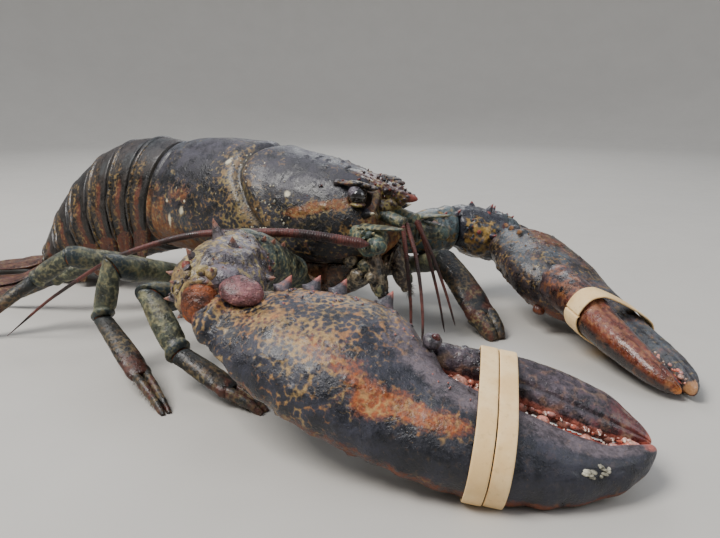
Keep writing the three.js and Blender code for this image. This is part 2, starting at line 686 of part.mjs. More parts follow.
// The side lobe of a plate hangs down, at most this long and this clear of the floor
const LOBE_LENGTH = 40;
const LOBE_CLEAR = 7;
function tailPlate(ring) {
  const step = profile([0, 0.14, 0.22, 0.8, 1], [-2.2, -2, 0.2, 1, 1.4]);
  const inset = 0.0045;
  const at = [ring + inset, ring + 0.14, ring + 0.24, ring + 0.62, ring + 1 - inset];
  const skin = tailSkin(ring, step);
  const pieces = [loft(skin, 20, at)];
  const lobe = profile([0, 0.4, 0.75, 1], [1, 0.95, 0.62, 0.2]);
  for (const s of [-1, 1]) {
    const bend = radians(tailBend(ring + 0.5));
    const out = V(Math.sin(bend), -Math.cos(bend), 0).multiplyScalar(-s);
    const along = unit(tailBelly(ring), tailBelly(ring + 1));
    const span = tailBelly(ring).distanceTo(tailBelly(ring + 1));
    const down = unit(tailBack(ring + 0.5), tailBelly(ring + 0.5));
    const height = mix(tailBelly(ring + 0.5), tailBack(ring + 0.5), 0.3);
    const root = height.addScaledVector(out, tailHalf(ring + 0.5) * 0.9);
    const drop = Math.min(LOBE_LENGTH, Math.max(10, root.z - LOBE_CLEAR) / Math.abs(down.z));
    const lobeSkin = (t, angle, share) =>
      root
        .clone()
        .addScaledVector(down, t * drop)
        .addScaledVector(along, Math.cos(angle) * share * lobe(t) * span * 0.44 + t * span * 0.12)
        .addScaledVector(out, Math.sin(angle) * share * (4.2 - 2.4 * t) - 3 * t);
    pieces.push(loft(lobeSkin, 7, [0, 0.4, 0.75, 1]));
  }
  return onFloor(fuse(pieces));
}
for (let ring = 0; ring < 6; ring++) {
  node("tail_" + (ring + 1), tailPlate(ring), TAIL);
}

// Tail fan: the middle plate lies over the inner side plates, and those over the outer ones
const fanBend = radians(TAIL_RINGS.bend[6]);
const fanAlong = V(-Math.cos(fanBend), -Math.sin(fanBend), 0);
const fanSide = V(Math.sin(fanBend), -Math.cos(fanBend), 0);
const fanRoot = mix(tailBelly(6), tailBack(6), 0.45);
function vane({ start, angle, length, halfWidth: half, height, halfThick, around = 8 }) {
  const turned = fanAlong.clone().applyAxisAngle(UP, radians(angle));
  const across = new THREE.Vector3().crossVectors(UP, turned);
  const skin = (t, a, share) =>
    start
      .clone()
      .addScaledVector(turned, t * length)
      .addScaledVector(across, Math.cos(a) * share * half(t))
      .setZ(height(t) + Math.sin(a) * share * halfThick(t));
  return loft(skin, around, [0, 0.12, 0.25, 0.45, 0.7, 0.88, 0.96, 1]);
}
const telson = vane({
  start: fanRoot.clone().addScaledVector(fanAlong, -10),
  angle: 0,
  length: 106,
  halfWidth: profile([0, 0.15, 0.5, 0.85, 0.95, 1], [17, 21, 27, 25, 20, 11]),
  height: profile([0, 0.12, 0.35, 0.7, 1], [25, 22, 15, 11.4, 9]),
  halfThick: profile([0, 0.12, 0.35, 0.7, 1], [13, 9, 4.6, 3, 1.6]),
});
node("telson", clear(fuse(telson), nodes.tail_6), TAIL);
for (const [name, s] of [["uropod_R", 1], ["uropod_L", -1]]) {
  const stem = fanRoot.clone().addScaledVector(fanSide, s * 22).addScaledVector(fanAlong, -8);
  const lobes = [
    vane({
      start: stem.clone(),
      angle: s * 24,
      length: 100,
      halfWidth: profile([0, 0.2, 0.6, 0.85, 0.95, 1], [8, 12, 24, 22, 16, 8]),
      height: profile([0, 0.2, 0.45, 1], [17, 12, 5.6, 4]),
      halfThick: profile([0, 0.2, 0.45, 1], [8, 5.4, 1.9, 1.5]),
    }),
    vane({
      start: stem.clone(),
      angle: s * 54,
      length: 102,
      halfWidth: profile([0, 0.2, 0.6, 0.85, 0.95, 1], [8, 13, 25, 23, 17, 8]),
      height: profile([0, 0.2, 0.45, 1], [17, 9, 1.2, 1]),
      halfThick: profile([0, 0.2, 0.45, 1], [8, 5, 1.9, 1.7]),
    }),
  ];
  node(name, onFloor(clear(fuse(lobes), nodes.tail_6, nodes.telson)), TAIL);
}

// Eyes on short stalks in their sockets
for (const [name, s] of [["R", -1], ["L", 1]]) {
  const eye = fuse(eyeBall(s));
  const inner = V(EYES.x - 14, s * (EYES.y - 16), EYES.z - 3);
  const centre = V(EYES.x, s * EYES.y, EYES.z);
  const stalk = segment({
    from: inner,
    to: centre,
    fromNormal: unit(inner, centre),
    toNormal: unit(inner, centre),
    width: profile([0, 0.7, 1], [5, 6, 6.6]),
    depth: profile([0, 0.7, 1], [5, 6, 6.6]),
    around: 7,
    stations: [0, 1],
  });
  node("eye_" + name, clear(eye, nodes.carapace), EYE);
  node("eyestalk_" + name, clear(fuse(stalk), nodes.carapace, nodes["eye_" + name]), LIMB);
}

// Feelers
function whip({ points, at, radius, around, count }) {
  const line = route(at, points);
  const skin = (t, angle, share) => {
    const ahead = line(Math.min(t + 0.002, 1)).sub(line(Math.max(t - 0.002, 0))).normalize();
    const level = Math.abs(ahead.z) > 0.9 ? V(1, 0, 0) : UP;
    const side = new THREE.Vector3().crossVectors(ahead, level).normalize();
    const top = new THREE.Vector3().crossVectors(side, ahead);
    return line(t)
      .addScaledVector(side, Math.cos(angle) * share * radius(t))
      .addScaledVector(top, Math.sin(angle) * share * radius(t));
  };
  return loft(skin, around, steps(count));
}

const ANTENNA_AT = [0, 0.22, 0.42, 0.65, 0.86, 1];
const ANTENNA = {
  R: [[256, -50, 92], [203, -86, 101], [148, -108, 98], [80, -136, 79], [18, -166, 40], [-24, -190, 2]],
  L: [[264, 50, 89], [205, 82, 93], [148, 106, 96], [80, 134, 79], [18, 164, 40], [-24, 190, 2]],
};
const ANTENNA_RADIUS = profile([0, 0.1, 0.6, 1], [4.2, 3.7, 2.3, 0.9]);
const PEDUNCLE = {
  R: [[232, -24, 92], [249, -33, 91], [258, -42, 90]],
  L: [[232, 24, 92], [252, 33, 90], [268, 42, 88]],
};
const block = (from, to, normal, widths, depths) =>
  segment({
    from,
    to,
    fromNormal: normal,
    toNormal: normal,
    width: profile([0, 1], widths),
    depth: profile([0, 1], depths),
    around: 8,
    stations: [0, 1],
  });
for (const side of ["R", "L"]) {
  const s = side === "R" ? -1 : 1;
  const line = { at: ANTENNA_AT, points: ANTENNA[side] };
  const flagellum = fuse(whip({ ...line, radius: ANTENNA_RADIUS, around: 6, count: 22 }));
  const [root, bend, end] = pointsOf(PEDUNCLE[side]);
  const along = unit(root, end);
  const joints = [
    block(root, bend, along, [12.5, 12.5], [11, 11]),
    block(bend, end, along, [9, 7.5], [8.5, 7]),
    knob(end, 7.6, 7.6, 7, 8, 5),
    spine(bend.clone().add(V(2, s * 9, 6)), V(1, s * 0.6, 0.4), 3.5, 8),
    spine(root.clone().add(V(6, s * 11, 4)), V(0.8, s * 0.8, 0.3), 3.5, 8),
  ];
  const scaleTip = V(278, s * 38, 104);
  const scaleRoot = root.clone().add(V(4, s * 6, 8));
  const scaleAlong = unit(scaleRoot, scaleTip);
  joints.push(
    segment({
      from: scaleRoot,
      to: scaleTip,
      fromNormal: scaleAlong,
      toNormal: scaleAlong,
      width: profile([0, 0.5, 1], [7, 7.5, 1.2]),
      depth: profile([0, 1], [3.4, 0.9]),
      around: 8,
      stations: [0, 0.4, 0.75, 1],
    }),
  );
  const around = [nodes.carapace, nodes["eye_" + side], nodes.thorax_underside];
  node("antenna_base_" + side, clear(fuse(joints), ...around), LIMB);
  node("antenna_" + side, clear(flagellum, nodes["antenna_base_" + side]), FEELER);
}

const ANTENNULE = {
  R: [
    [[262, -12, 103], [270, -17, 70], [276, -20, 30], [277, -22, 1.2]],
    [[262, -7, 104], [276, -14, 78], [290, -26, 36], [296, -36, 6]],
  ],
  L: [
    [[262, 12, 103], [268, 20, 72], [274, 30, 32], [278, 35, 1.2]],
    [[262, 7, 104], [274, 14, 76], [286, 22, 38], [292, 27, 12]],
  ],
};
for (const side of ["R", "L"]) {
  const s = side === "R" ? -1 : 1;
  const root = V(238, s * 8, 108);
  const end = V(263, s * 10, 103);
  const along = unit(root, end);
  const stem = segment({
    from: root,
    to: end,
    fromNormal: along,
    toNormal: along,
    width: profile([0, 0.4, 1], [6, 5.6, 4.8]),
    depth: profile([0, 0.4, 1], [6, 5.4, 4.4]),
    around: 9,
    stations: [0, 0.3, 0.65, 1],
  });
  const radius = profile([0, 0.3, 1], [2, 1.7, 0.8]);
  const whips = ANTENNULE[side].map((points) =>
    whip({ points, at: [0, 0.33, 0.75, 1], radius, around: 5, count: 7 }),
  );
  const neighbours = [nodes.carapace, nodes["antenna_base_R"], nodes["antenna_base_L"]];
  if (side === "L") neighbours.push(nodes.antennule_R);
  node("antennule_" + side, clear(fuse(stem, whips), ...neighbours), FEELER);
}

// The outer mouth limbs hang in front of the mouth
const MOUTH = {
  R: [[212, -15, 46], [238, -17, 66], [250, -19, 40]],
  L: [[212, 15, 46], [238, 17, 66], [250, 18, 38]],
};
for (const side of ["R", "L"]) {
  const [root, bend, end] = pointsOf(MOUTH[side]);
  const fore = unit(root, bend);
  const aft = unit(bend, end);
  const cut = bisector(fore, aft);
  const lengths = [
    segment({
      from: root,
      to: bend,
      fromNormal: fore,
      toNormal: cut,
      width: profile([0, 0.6, 1], [8, 10, 8]),
      depth: profile([0, 0.6, 1], [7, 9, 8]),
      around: 8,
      stations: [0, 0.5, 1],
    }),
    segment({
      from: bend.clone().addScaledVector(aft, -1),
      to: end,
      fromNormal: cut,
      toNormal: aft,
      width: profile([0, 0.5, 1], [8, 8.6, 4]),
      depth: profile([0, 0.5, 1], [8, 7, 4]),
      around: 8,
      stations: [0, 0.5, 1],
    }),
  ];
  const around = [nodes.carapace, nodes.thorax_underside, nodes["antenna_base_" + side]];
  node("mouth_limb_" + side, clear(fuse(lengths), ...around), LIMB);
}

// Rubber bands: the hull of both fingers where the band lies, grown by the band's wall
function hull2(points) {
  const sorted = [...points].sort((a, b) => a[0] - b[0] || a[1] - b[1]);
  const turnOf = (o, a, b) => (a[0] - o[0]) * (b[1] - o[1]) - (a[1] - o[1]) * (b[0] - o[0]);
  const half = (list) => {
    const chain = [];
    for (const p of list) {
      while (chain.length > 1 && turnOf(chain.at(-2), chain.at(-1), p) <= 0) chain.pop();
      chain.push(p);
    }
    return chain.slice(0, -1);
  };
  return [...half(sorted), ...half(sorted.reverse())];
}

const BAND_LINES = 24;
function band({ axes, length, side, share, tilt, width }) {
  const along = axes.turn(1, 0, 0).applyAxisAngle(axes.upward, radians(tilt)).normalize();
  const inward = axes.turn(0, 1, 0).applyAxisAngle(axes.upward, radians(tilt)).normalize();
  const centre = axes.place(share * length, 0, 0);
  const slab = new THREE.BoxGeometry(width + 1, 400, 400);
  const basis = new THREE.Matrix4().makeBasis(along, inward, axes.upward).setPosition(centre);
  slab.applyMatrix4(basis);
  const slice = solid(slab);
  const toBand = basis.clone().invert();
  const outline = [];
  for (const part of ["palm", "finger"]) {
    const place = geometryOf(nodes["claw_" + side + "_" + part].intersect(slice)).getAttribute("position");
    for (let i = 0; i < place.count; i++) {
      const p = V(place.getX(i), place.getY(i), place.getZ(i)).applyMatrix4(toBand);
      outline.push([p.y, p.z]);
    }
  }
  const tight = hull2(outline);
  const middle = tight.reduce((m, p) => [m[0] + p[0] / tight.length, m[1] + p[1] / tight.length], [0, 0]);
  // The hull's reach in a direction, so that the band is a smooth loop that touches all round
  const reach = (a) =>
    Math.max(...tight.map((p) => (p[0] - middle[0]) * Math.cos(a) + (p[1] - middle[1]) * Math.sin(a)));
  const loop = (grow) => {
    const lines = Array.from({ length: BAND_LINES }, (_, i) => {
      const a = (2 * Math.PI * i) / BAND_LINES;
      return { a, r: reach(a) + grow };
    });
    return lines.map((one, i) => {
      const two = lines[(i + 1) % BAND_LINES];
      const bottom = Math.sin(two.a - one.a);
      return new THREE.Vector2(
        middle[0] + (one.r * Math.sin(two.a) - two.r * Math.sin(one.a)) / bottom,
        middle[1] + (two.r * Math.cos(one.a) - one.r * Math.cos(two.a)) / bottom,
      );
    });
  };
  const shape = new THREE.Shape(loop(GAP + BAND_THICK));
  shape.holes.push(new THREE.Path(loop(GAP)));
  const ring = new THREE.ExtrudeGeometry(shape, { depth: width, bevelEnabled: false });
  ring.translate(0, 0, -width / 2);
  ring.applyMatrix4(new THREE.Matrix4().makeBasis(inward, axes.upward, along).setPosition(centre));
  return fuse(ring);
}
const CRUSHER_BAND_AT = 0.67;
const CRUSHER_BANDS = {
  axes: crusherAxes,
  length: CRUSHER_LENGTH,
  side: "R",
  tilt: 8,
  width: CRUSHER_BAND_WIDTH,
};
const halfSpacing = BAND_SPACING / CRUSHER_LENGTH / 2;
const CUTTER_BAND = {
  axes: cutterAxes,
  length: CUTTER_LENGTH,
  side: "L",
  tilt: 0,
  width: CUTTER_BAND_WIDTH,
  share: 0.645,
};
node("band_R_1", onFloor(band({ ...CRUSHER_BANDS, share: CRUSHER_BAND_AT - halfSpacing })), BAND);
node("band_R_2", onFloor(band({ ...CRUSHER_BANDS, share: CRUSHER_BAND_AT + halfSpacing })), BAND);
node("band_L", onFloor(band(CUTTER_BAND)), BAND);

// The origin goes to the middle of the footprint, on the floor
const box = new THREE.Box3().setFromObject(body);
body.position.set(-(box.min.x + box.max.x) / 2, -(box.min.y + box.max.y) / 2, -box.min.z);

const lobster = new THREE.Group();
lobster.add(body);
export default lobster;
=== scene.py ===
import math
from functools import cached_property

import bpy
import numpy as np
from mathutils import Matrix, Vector


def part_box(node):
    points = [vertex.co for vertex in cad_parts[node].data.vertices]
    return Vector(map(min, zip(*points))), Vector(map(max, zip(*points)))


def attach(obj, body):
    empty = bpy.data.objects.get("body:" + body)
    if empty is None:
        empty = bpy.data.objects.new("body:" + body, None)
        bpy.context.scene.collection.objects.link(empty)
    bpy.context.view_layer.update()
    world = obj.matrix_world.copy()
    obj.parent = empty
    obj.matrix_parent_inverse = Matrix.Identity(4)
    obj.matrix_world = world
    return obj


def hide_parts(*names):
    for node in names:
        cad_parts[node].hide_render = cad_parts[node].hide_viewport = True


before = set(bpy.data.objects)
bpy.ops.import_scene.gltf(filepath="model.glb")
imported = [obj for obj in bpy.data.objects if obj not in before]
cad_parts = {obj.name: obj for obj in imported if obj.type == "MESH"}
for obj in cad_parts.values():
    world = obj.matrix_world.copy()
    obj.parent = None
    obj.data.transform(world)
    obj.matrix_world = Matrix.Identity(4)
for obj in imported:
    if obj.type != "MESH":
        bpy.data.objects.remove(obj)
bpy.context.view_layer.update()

# Places and sizes are millimetres in a body frame: the origin is on the floor under the rear edge of the
# carapace, +X forward, +Y to the animal's left, +Z up. SHIFT takes them to the model's own frame.
EYE_PLACE = np.array([230.0, 28.0, 124.0])
EYE_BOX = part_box("eye_R")
SHIFT = (np.array(EYE_BOX[0]) + np.array(EYE_BOX[1])) * 500 - EYE_PLACE * [1, -1, 1]
SHIFT[2] = 0
GAP = 0.3
UP = np.array([0.0, 0.0, 1.0])
SIDES = {"R": -1, "L": 1}
MASKS = ["warm", "fleck", "tip", "dark", "cool"]


# Curves and noise


def unit(v):
    """The vector divided by its length."""
    return v / np.linalg.norm(v)


def smooth(low, high, x):
    """0 below low, 1 above high, 3t^2 - 2t^3 between them."""
    t = np.clip((x - low) / (high - low), 0, 1)
    return t * t * (3 - 2 * t)


def bell(x, middle, width):
    """exp(-((x - middle) / width)^2)."""
    return np.exp(-(((x - middle) / width) ** 2))


def profile(at, values):
    """A smooth curve through the values: cubic Hermite pieces, the slope at a station is 2ab / (a + b) of
    the slopes beside it, or 0 where they differ in sign."""
    at, values = np.array(at, float), np.array(values, float)
    rise = np.diff(values) / np.diff(at)
    slope = np.concatenate([rise[:1], np.zeros(len(at) - 2), rise[-1:]])
    product = rise[:-1] * rise[1:]
    total = np.where(product > 0, rise[:-1] + rise[1:], 1)
    slope[1:-1] = np.where(product > 0, 2 * product / total, 0)

    def curve(x):
        """The value at x, held constant beyond both ends."""
        x = np.clip(x, at[0], at[-1])
        i = np.clip(np.searchsorted(at, x, side="right") - 1, 0, len(at) - 2)
        span = at[i + 1] - at[i]
        t = (x - at[i]) / span
        s = 1 - t
        ends = values[i] * s * s * (1 + 2 * t) + values[i + 1] * t * t * (3 - 2 * t)
        return ends + (slope[i] * s - slope[i + 1] * t) * span * t * s

    return curve


def route(at, points):
    """profile() for each coordinate of a row of points."""
    axes = [profile(at, column) for column in np.array(points, float).T]
    return lambda t: np.stack([axis(t) for axis in axes], -1)


LATTICE = np.random.default_rng(11).uniform(-1, 1, (32, 32, 32))


def noise(points, size, shift=0.0):
    """Value noise from -1 to 1: random numbers on a cubic lattice of the given spacing in mm, blended by
    3t^2 - 2t^3 along each axis."""
    place = points / size + shift
    cell = np.floor(place).astype(int)
    t = place - cell
    t = t * t * (3 - 2 * t)
    total = 0
    for corner in np.ndindex(2, 2, 2):
        weight = np.prod(np.where(np.array(corner), t, 1 - t), -1)
        i, j, k = np.moveaxis((cell + corner) % 32, -1, 0)
        total = total + weight * LATTICE[i, j, k]
    return total


def rough(points, size, shift=0.0):
    """Three octaves of noise, each at half the size and half the weight of the one before."""
    return sum(noise(points, size / 2**k, shift + 5.3 * k) / 2**k for k in range(3)) / 1.75


# Closed surfaces


class Surface:
    """Points, quads, triangles and masks of one closed surface, turned to face out."""

    def __init__(self, points, quads, tris, look, masks):
        halves = np.concatenate([quads[:, [0, 1, 2]], quads[:, [0, 2, 3]], tris])
        a, b, c = (points[halves[:, k]] for k in range(3))
        if np.einsum("ij,ij->i", a - points[0], np.cross(b - points[0], c - points[0])).sum() < 0:
            quads, tris = quads[:, ::-1], tris[:, ::-1]
        self.points, self.quads, self.tris, self.look, self.masks = points, quads, tris, look, masks


def closed(grid, look, **masks):
    """Rings of points, each joined to the next by quads; the end rings close on their own middles."""
    n, m = grid.shape[:2]
    index = np.arange(n * m).reshape(n, m)
    turned = np.roll(index, -1, axis=1)
    quads = np.stack([index[:-1], turned[:-1], turned[1:], index[1:]], -1).reshape(-1, 4)
    poles = [
        np.stack([turned[0], index[0], np.full(m, n * m)], -1),
        np.stack([index[-1], turned[-1], np.full(m, n * m + 1)], -1),
    ]
    points = np.concatenate([grid.reshape(-1, 3), [grid[0].mean(0), grid[-1].mean(0)]])
    flat = {}
    for name, mask in masks.items():
        mask = np.broadcast_to(mask, (n, m))
        flat[name] = np.concatenate([mask.ravel(), [mask[0].mean(), mask[-1].mean()]])
    return Surface(points, quads, np.concatenate(poles), look, flat)


def hoop(grid, look, **masks):
    """A grid that closes on itself in both directions, as a ring does."""
    n, m = grid.shape[:2]
    index = np.arange(n * m).reshape(n, m)
    turned, ahead = np.roll(index, -1, axis=1), np.roll(index, -1, axis=0)
    quads = np.stack([index, turned, np.roll(turned, -1, axis=0), ahead], -1).reshape(-1, 4)
    flat = {name: np.broadcast_to(mask, (n, m)).ravel() for name, mask in masks.items()}
    return Surface(grid.reshape(-1, 3), quads, np.zeros((0, 3), int), look, flat)


def bristles(roots, directions, length, radius):
    """Hairs as slim three-sided cones: root, direction times length for the tip, and a small triangle
    square to the direction at the root."""
    roots, directions = np.atleast_2d(roots), np.atleast_2d(directions)
    directions = directions / np.linalg.norm(directions, axis=1, keepdims=True)
    side = np.cross(directions, [0.3, 0.5, 0.81])
    side /= np.linalg.norm(side, axis=1, keepdims=True)
    top = np.cross(directions, side)
    turn = np.radians([0, 120, 240])[None, :, None]
    foot = roots[:, None] + radius * (np.cos(turn) * side[:, None] + np.sin(turn) * top[:, None])
    tips = roots + directions * np.reshape(length, (-1, 1))
    points = np.concatenate([foot, tips[:, None]], 1).reshape(-1, 3)
    base = np.arange(len(roots))[:, None, None] * 4
    tris = (base + np.array([[0, 1, 3], [1, 2, 3], [2, 0, 3], [0, 2, 1]])).reshape(-1, 3)
    return Surface(points, np.zeros((0, 4), int), tris, "hair", {})


def rows(start, end, count, edge=(0.04, 0.04), pull=(0.12, 0.12), cap=3):
    """The stations and shares of a loft's rings. Each end is closed by rings of shrinking share, and its
    rim is a quarter circle: place = end + edge (1 - cos a), share = 1 - pull (1 - sin a)."""
    a = np.radians([0, 15, 30, 45, 60, 75])
    flat = np.linspace(0, 1, cap + 2)[1:-1]
    head = np.concatenate([flat * (1 - pull[0]), 1 - pull[0] * (1 - np.sin(a))])
    tail = np.concatenate([flat * (1 - pull[1]), 1 - pull[1] * (1 - np.sin(a))])[::-1]
    rim = np.concatenate([np.zeros(cap), 1 - np.cos(a)])
    inner = np.linspace(start + edge[0], end - edge[1], count)
    t = np.concatenate([start + edge[0] * rim, inner, end - edge[1] * rim[::-1]])
    return t[:, None], np.concatenate([head, np.ones(count), tail])[:, None]


def turns(around):
    """Equal angles round a ring."""
    return np.linspace(0, 2 * math.pi, around, endpoint=False)[None, :]


def outward(grid):
    """Unit normals of a closed grid: the cross product of its two differences, with the sign that makes the
    enclosed volume positive."""
    along = np.gradient(grid, axis=0)
    across = np.roll(grid, -1, axis=1) - np.roll(grid, 1, axis=1)
    n = np.cross(along, across)
    sign = np.sign(((grid - grid.mean((0, 1))) * n).sum())
    return sign * n / np.maximum(np.linalg.norm(n, axis=-1, keepdims=True), 1e-9)


def pushed(grid, depth):
    """Every point moved by depth along its normal."""
    return grid + outward(grid) * depth[..., None]


def folded_degrees(angle):
    """The angle in degrees, folded so that both flanks run from -90 at the belly to 90 at the back."""
    degrees = np.degrees(np.arctan2(np.sin(angle), np.cos(angle)))
    return np.where(degrees > 90, 180 - degrees, np.where(degrees < -90, -180 - degrees, degrees))


def circles(centre, side, top, radius, angle):
    """Rings of points: centre + radius (side cos a + top sin a)."""
    return centre + side * (radius * np.cos(angle))[..., None] + top * (radius * np.sin(angle))[..., None]


def spike(root, direction, radius, height, look, lift=0.15, sides=10, cool=0.0):
    """A curved thorn: at share t of its height the radius is radius ((1 - t)^0.85 + 0.35 exp(-10 t)), and
    the axis rises by lift times the height times t^2. Its narrowing root goes a little into the shell."""
    direction = unit(np.array(direction, float))
    side = unit(np.cross(direction, [0.2, 0.1, 0.97]))
    top = np.cross(side, direction)
    t = np.array([-0.4, -0.2, 0, 0.1, 0.25, 0.4, 0.55, 0.7, 0.83, 0.92, 0.97, 0.995])[:, None]
    above = np.maximum(t, 0)
    taper = (np.clip(1 - t, 0, 1) ** 0.85 + 0.35 * np.exp(-above / 0.1)) * np.where(t < 0, 1 + 1.2 * t, 1)
    axis = np.array(root) + direction * (t * height)[..., None] + UP * (lift * height * above**2)[..., None]
    tip = smooth(0.35, 0.9, t)
    masks = {"tip": 0.8 * tip, "warm": 0.2 * (1 - tip), "cool": cool * (1 - tip)}
    return closed(circles(axis, side, top, radius * taper, turns(sides)), look, **masks)


def knob(centre, radii, look, axes=None, around=24, bump=0.0, ribs=0.0, **masks):
    """An ellipsoid, by its polar angle and its angle round, with noise and round ribs of the given
    depths."""
    polar = np.linspace(0.06, math.pi - 0.06, around * 2 // 3)[:, None]
    a = turns(around)
    ball = [np.sin(polar) * np.cos(a), np.sin(polar) * np.sin(a), np.cos(polar) + 0 * a]
    axes = np.eye(3) if axes is None else np.array(axes)
    radii = np.broadcast_to(radii, 3)
    grid = np.array(centre) + sum((ball[k] * radii[k])[..., None] * axes[k] for k in range(3))
    if bump:
        ringed = ribs * np.cos(22 * polar) * np.sin(polar)
        grid = pushed(grid, bump * rough(grid, radii.mean() * 0.7) + ringed)
    return closed(grid, look, **masks)


def knobs(middle, side, table, around, bump, **masks):
    """Ellipsoids from a table of places from the middle, half axes and looks, mirrored for the left
    side."""
    return [
        knob(middle + np.array(place) * [1, side, 1], radii, look, None, around, bump, **masks)
        for place, radii, look in table
    ]


def frame_of(start, end, up=UP):
    """Along, side and top of a limb length."""
    along = unit(end - start)
    side = unit(np.cross(along, up))
    return along, side, np.cross(side, along)


def limb(start, end, first, last, width, depth, look, tint, bow=0.0, around=40, count=46, rim=0.035,
         flare=0.07, grain=0.35, keel=0.0, lump=0.0):
    """A limb length: point = line + side width cos a + top depth sin a, leant so that its end faces lie in
    the planes with normals first and last. A collar and a flared end are bells along it, and noise roughens
    it."""
    start, end = np.array(start, float), np.array(end, float)
    along, side, top = frame_of(start, end)
    a = start + along * GAP / 2 / (along @ first)
    b = end - along * GAP / 2 / (along @ last)
    t, share = rows(0, 1, count, (rim, rim), (0.14, 0.14))
    angle = turns(around)
    collars = bell(t, 0.93, 0.045) - 0.8 * bell(t, 0.83, 0.05) + 0.7 * bell(t, 0.06, 0.03)
    swell = 1 + flare * collars + keel * (np.abs(np.cos(angle)) ** 6 - 0.5)
    x = np.cos(angle) * share * width(t) * swell
    z = np.sin(angle) * share * depth(t) * swell
    offset = x[..., None] * side + z[..., None] * top
    lean = (1 - t) * (offset @ first) / (along @ first) + t * (offset @ last) / (along @ last)
    middle = a + (b - a) * t[..., None] + top * (bow * 4 * t * (1 - t))[..., None]
    grid = middle + offset - along * lean[..., None]
    skin = grain * rough(grid, 7.0) + lump * rough(grid, 22.0, 4.0)
    grid = pushed(grid, skin * smooth(0, 0.06, t) * smooth(1, 0.94, t))
    return closed(grid, look, **{"dark": 0.5 * bell(t, 0.83, 0.03), **tint(t, angle, grid)})


def straight(start, end, width, depth, look, tint, **settings):
    """A limb length whose end faces are square to it."""
    aim = unit(end - start)
    return limb(start, end, aim, aim, width, depth, look, tint, **settings)


def size(at, values, scale=1.0):
    """profile() with its values scaled."""
    return profile(at, [v * scale for v in values])


def whip(line, radius, count, look, ring=1.6, around=10, depth=0.1):
    """A ringed feeler: circles round the line, whose radius falls by depth at each ring's foot and rises
    along it."""
    t = np.linspace(0, 1, count)[:, None]
    centre = line(t[:, 0])[:, None, :]
    ahead = np.gradient(centre[:, 0], axis=0)
    ahead /= np.linalg.norm(ahead, axis=1, keepdims=True)
    side = np.cross(ahead, [0.31, 0.12, 0.94])
    side /= np.linalg.norm(side, axis=1, keepdims=True)
    top = np.cross(side, ahead)
    run = np.concatenate([[0], np.cumsum(np.linalg.norm(np.diff(centre[:, 0], axis=0), axis=1))])[:, None]
    saw = (run / ring) % 1.0
    ends = np.minimum(1, 0.25 + 12 * (1 - t)) * np.minimum(1, 0.25 + 30 * t)
    ringed = radius(t) * (1 + depth * (saw - 0.5)) * ends
    grid = circles(centre, side[:, None], top[:, None], ringed, turns(around))
    return closed(grid, look, dark=0.6 * (saw < 0.2), warm=0.5 + 0.5 * np.sin(run / 9))


def fringe(start, end, count, out, length, seed, spread=0.35, radius=0.18):
    """A row of bristles along the line from start to end, pointing out with a seeded scatter."""
    draw = np.random.default_rng(seed)
    t = np.sort(draw.uniform(0, 1, count))[:, None]
    roots = np.array(start) * (1 - t) + np.array(end) * t
    directions = unit(np.array(out, float)) + draw.normal(0, spread, (count, 3))
    return bristles(roots, directions, length * draw.uniform(0.6, 1.1, count), radius)


def piece(name, surfaces):
    """Joins closed surfaces into one mesh, with their masks as point attributes, and lets it stand for the
    node. Points under the floor are lifted onto it."""
    points = np.concatenate([s.points for s in surfaces])
    points[:, 2] = np.maximum(points[:, 2], 0)
    base = np.cumsum([0] + [len(s.points) for s in surfaces])
    quads = np.concatenate([s.quads + b for s, b in zip(surfaces, base)])
    tris = np.concatenate([s.tris + b for s, b in zip(surfaces, base)])
    looks = sorted({s.look for s in surfaces})
    kind = [np.full(len(s.quads), looks.index(s.look)) for s in surfaces]
    kind += [np.full(len(s.tris), looks.index(s.look)) for s in surfaces]
    mesh = bpy.data.meshes.new(name)
    mesh.vertices.add(len(points))
    mesh.vertices.foreach_set("co", ((points + SHIFT) / 1000).ravel())
    mesh.loops.add(quads.size + tris.size)
    mesh.loops.foreach_set("vertex_index", np.concatenate([quads.ravel(), tris.ravel()]))
    mesh.polygons.add(len(quads) + len(tris))
    starts = np.concatenate([np.arange(len(quads)) * 4, quads.size + np.arange(len(tris)) * 3])
    mesh.polygons.foreach_set("loop_start", starts)
    mesh.polygons.foreach_set("material_index", np.concatenate(kind))
    mesh.polygons.foreach_set("use_smooth", np.ones(len(starts), bool))
    mesh.update(calc_edges=True)
    for mask in MASKS:
        values = np.concatenate([s.masks.get(mask, np.zeros(len(s.points))) for s in surfaces])
        mesh.attributes.new(mask, "FLOAT", "POINT").data.foreach_set("value", np.clip(values, 0, 1))
    for look in looks:
        mesh.materials.append(LOOKS[look])
    made = bpy.data.objects.new(name, mesh)
    bpy.context.scene.collection.objects.link(made)
    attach(made, "root")
    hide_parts(name.replace("dressed_", ""))


# Finishes


def paint(code):
    """A colour from its six-digit code, as linear light."""
    parts = [int(code[k : k + 2], 16) / 255 for k in (0, 2, 4)]
    return tuple(c / 12.92 if c < 0.04045 else ((c + 0.055) / 1.055) ** 2.4 for c in parts) + (1.0,)


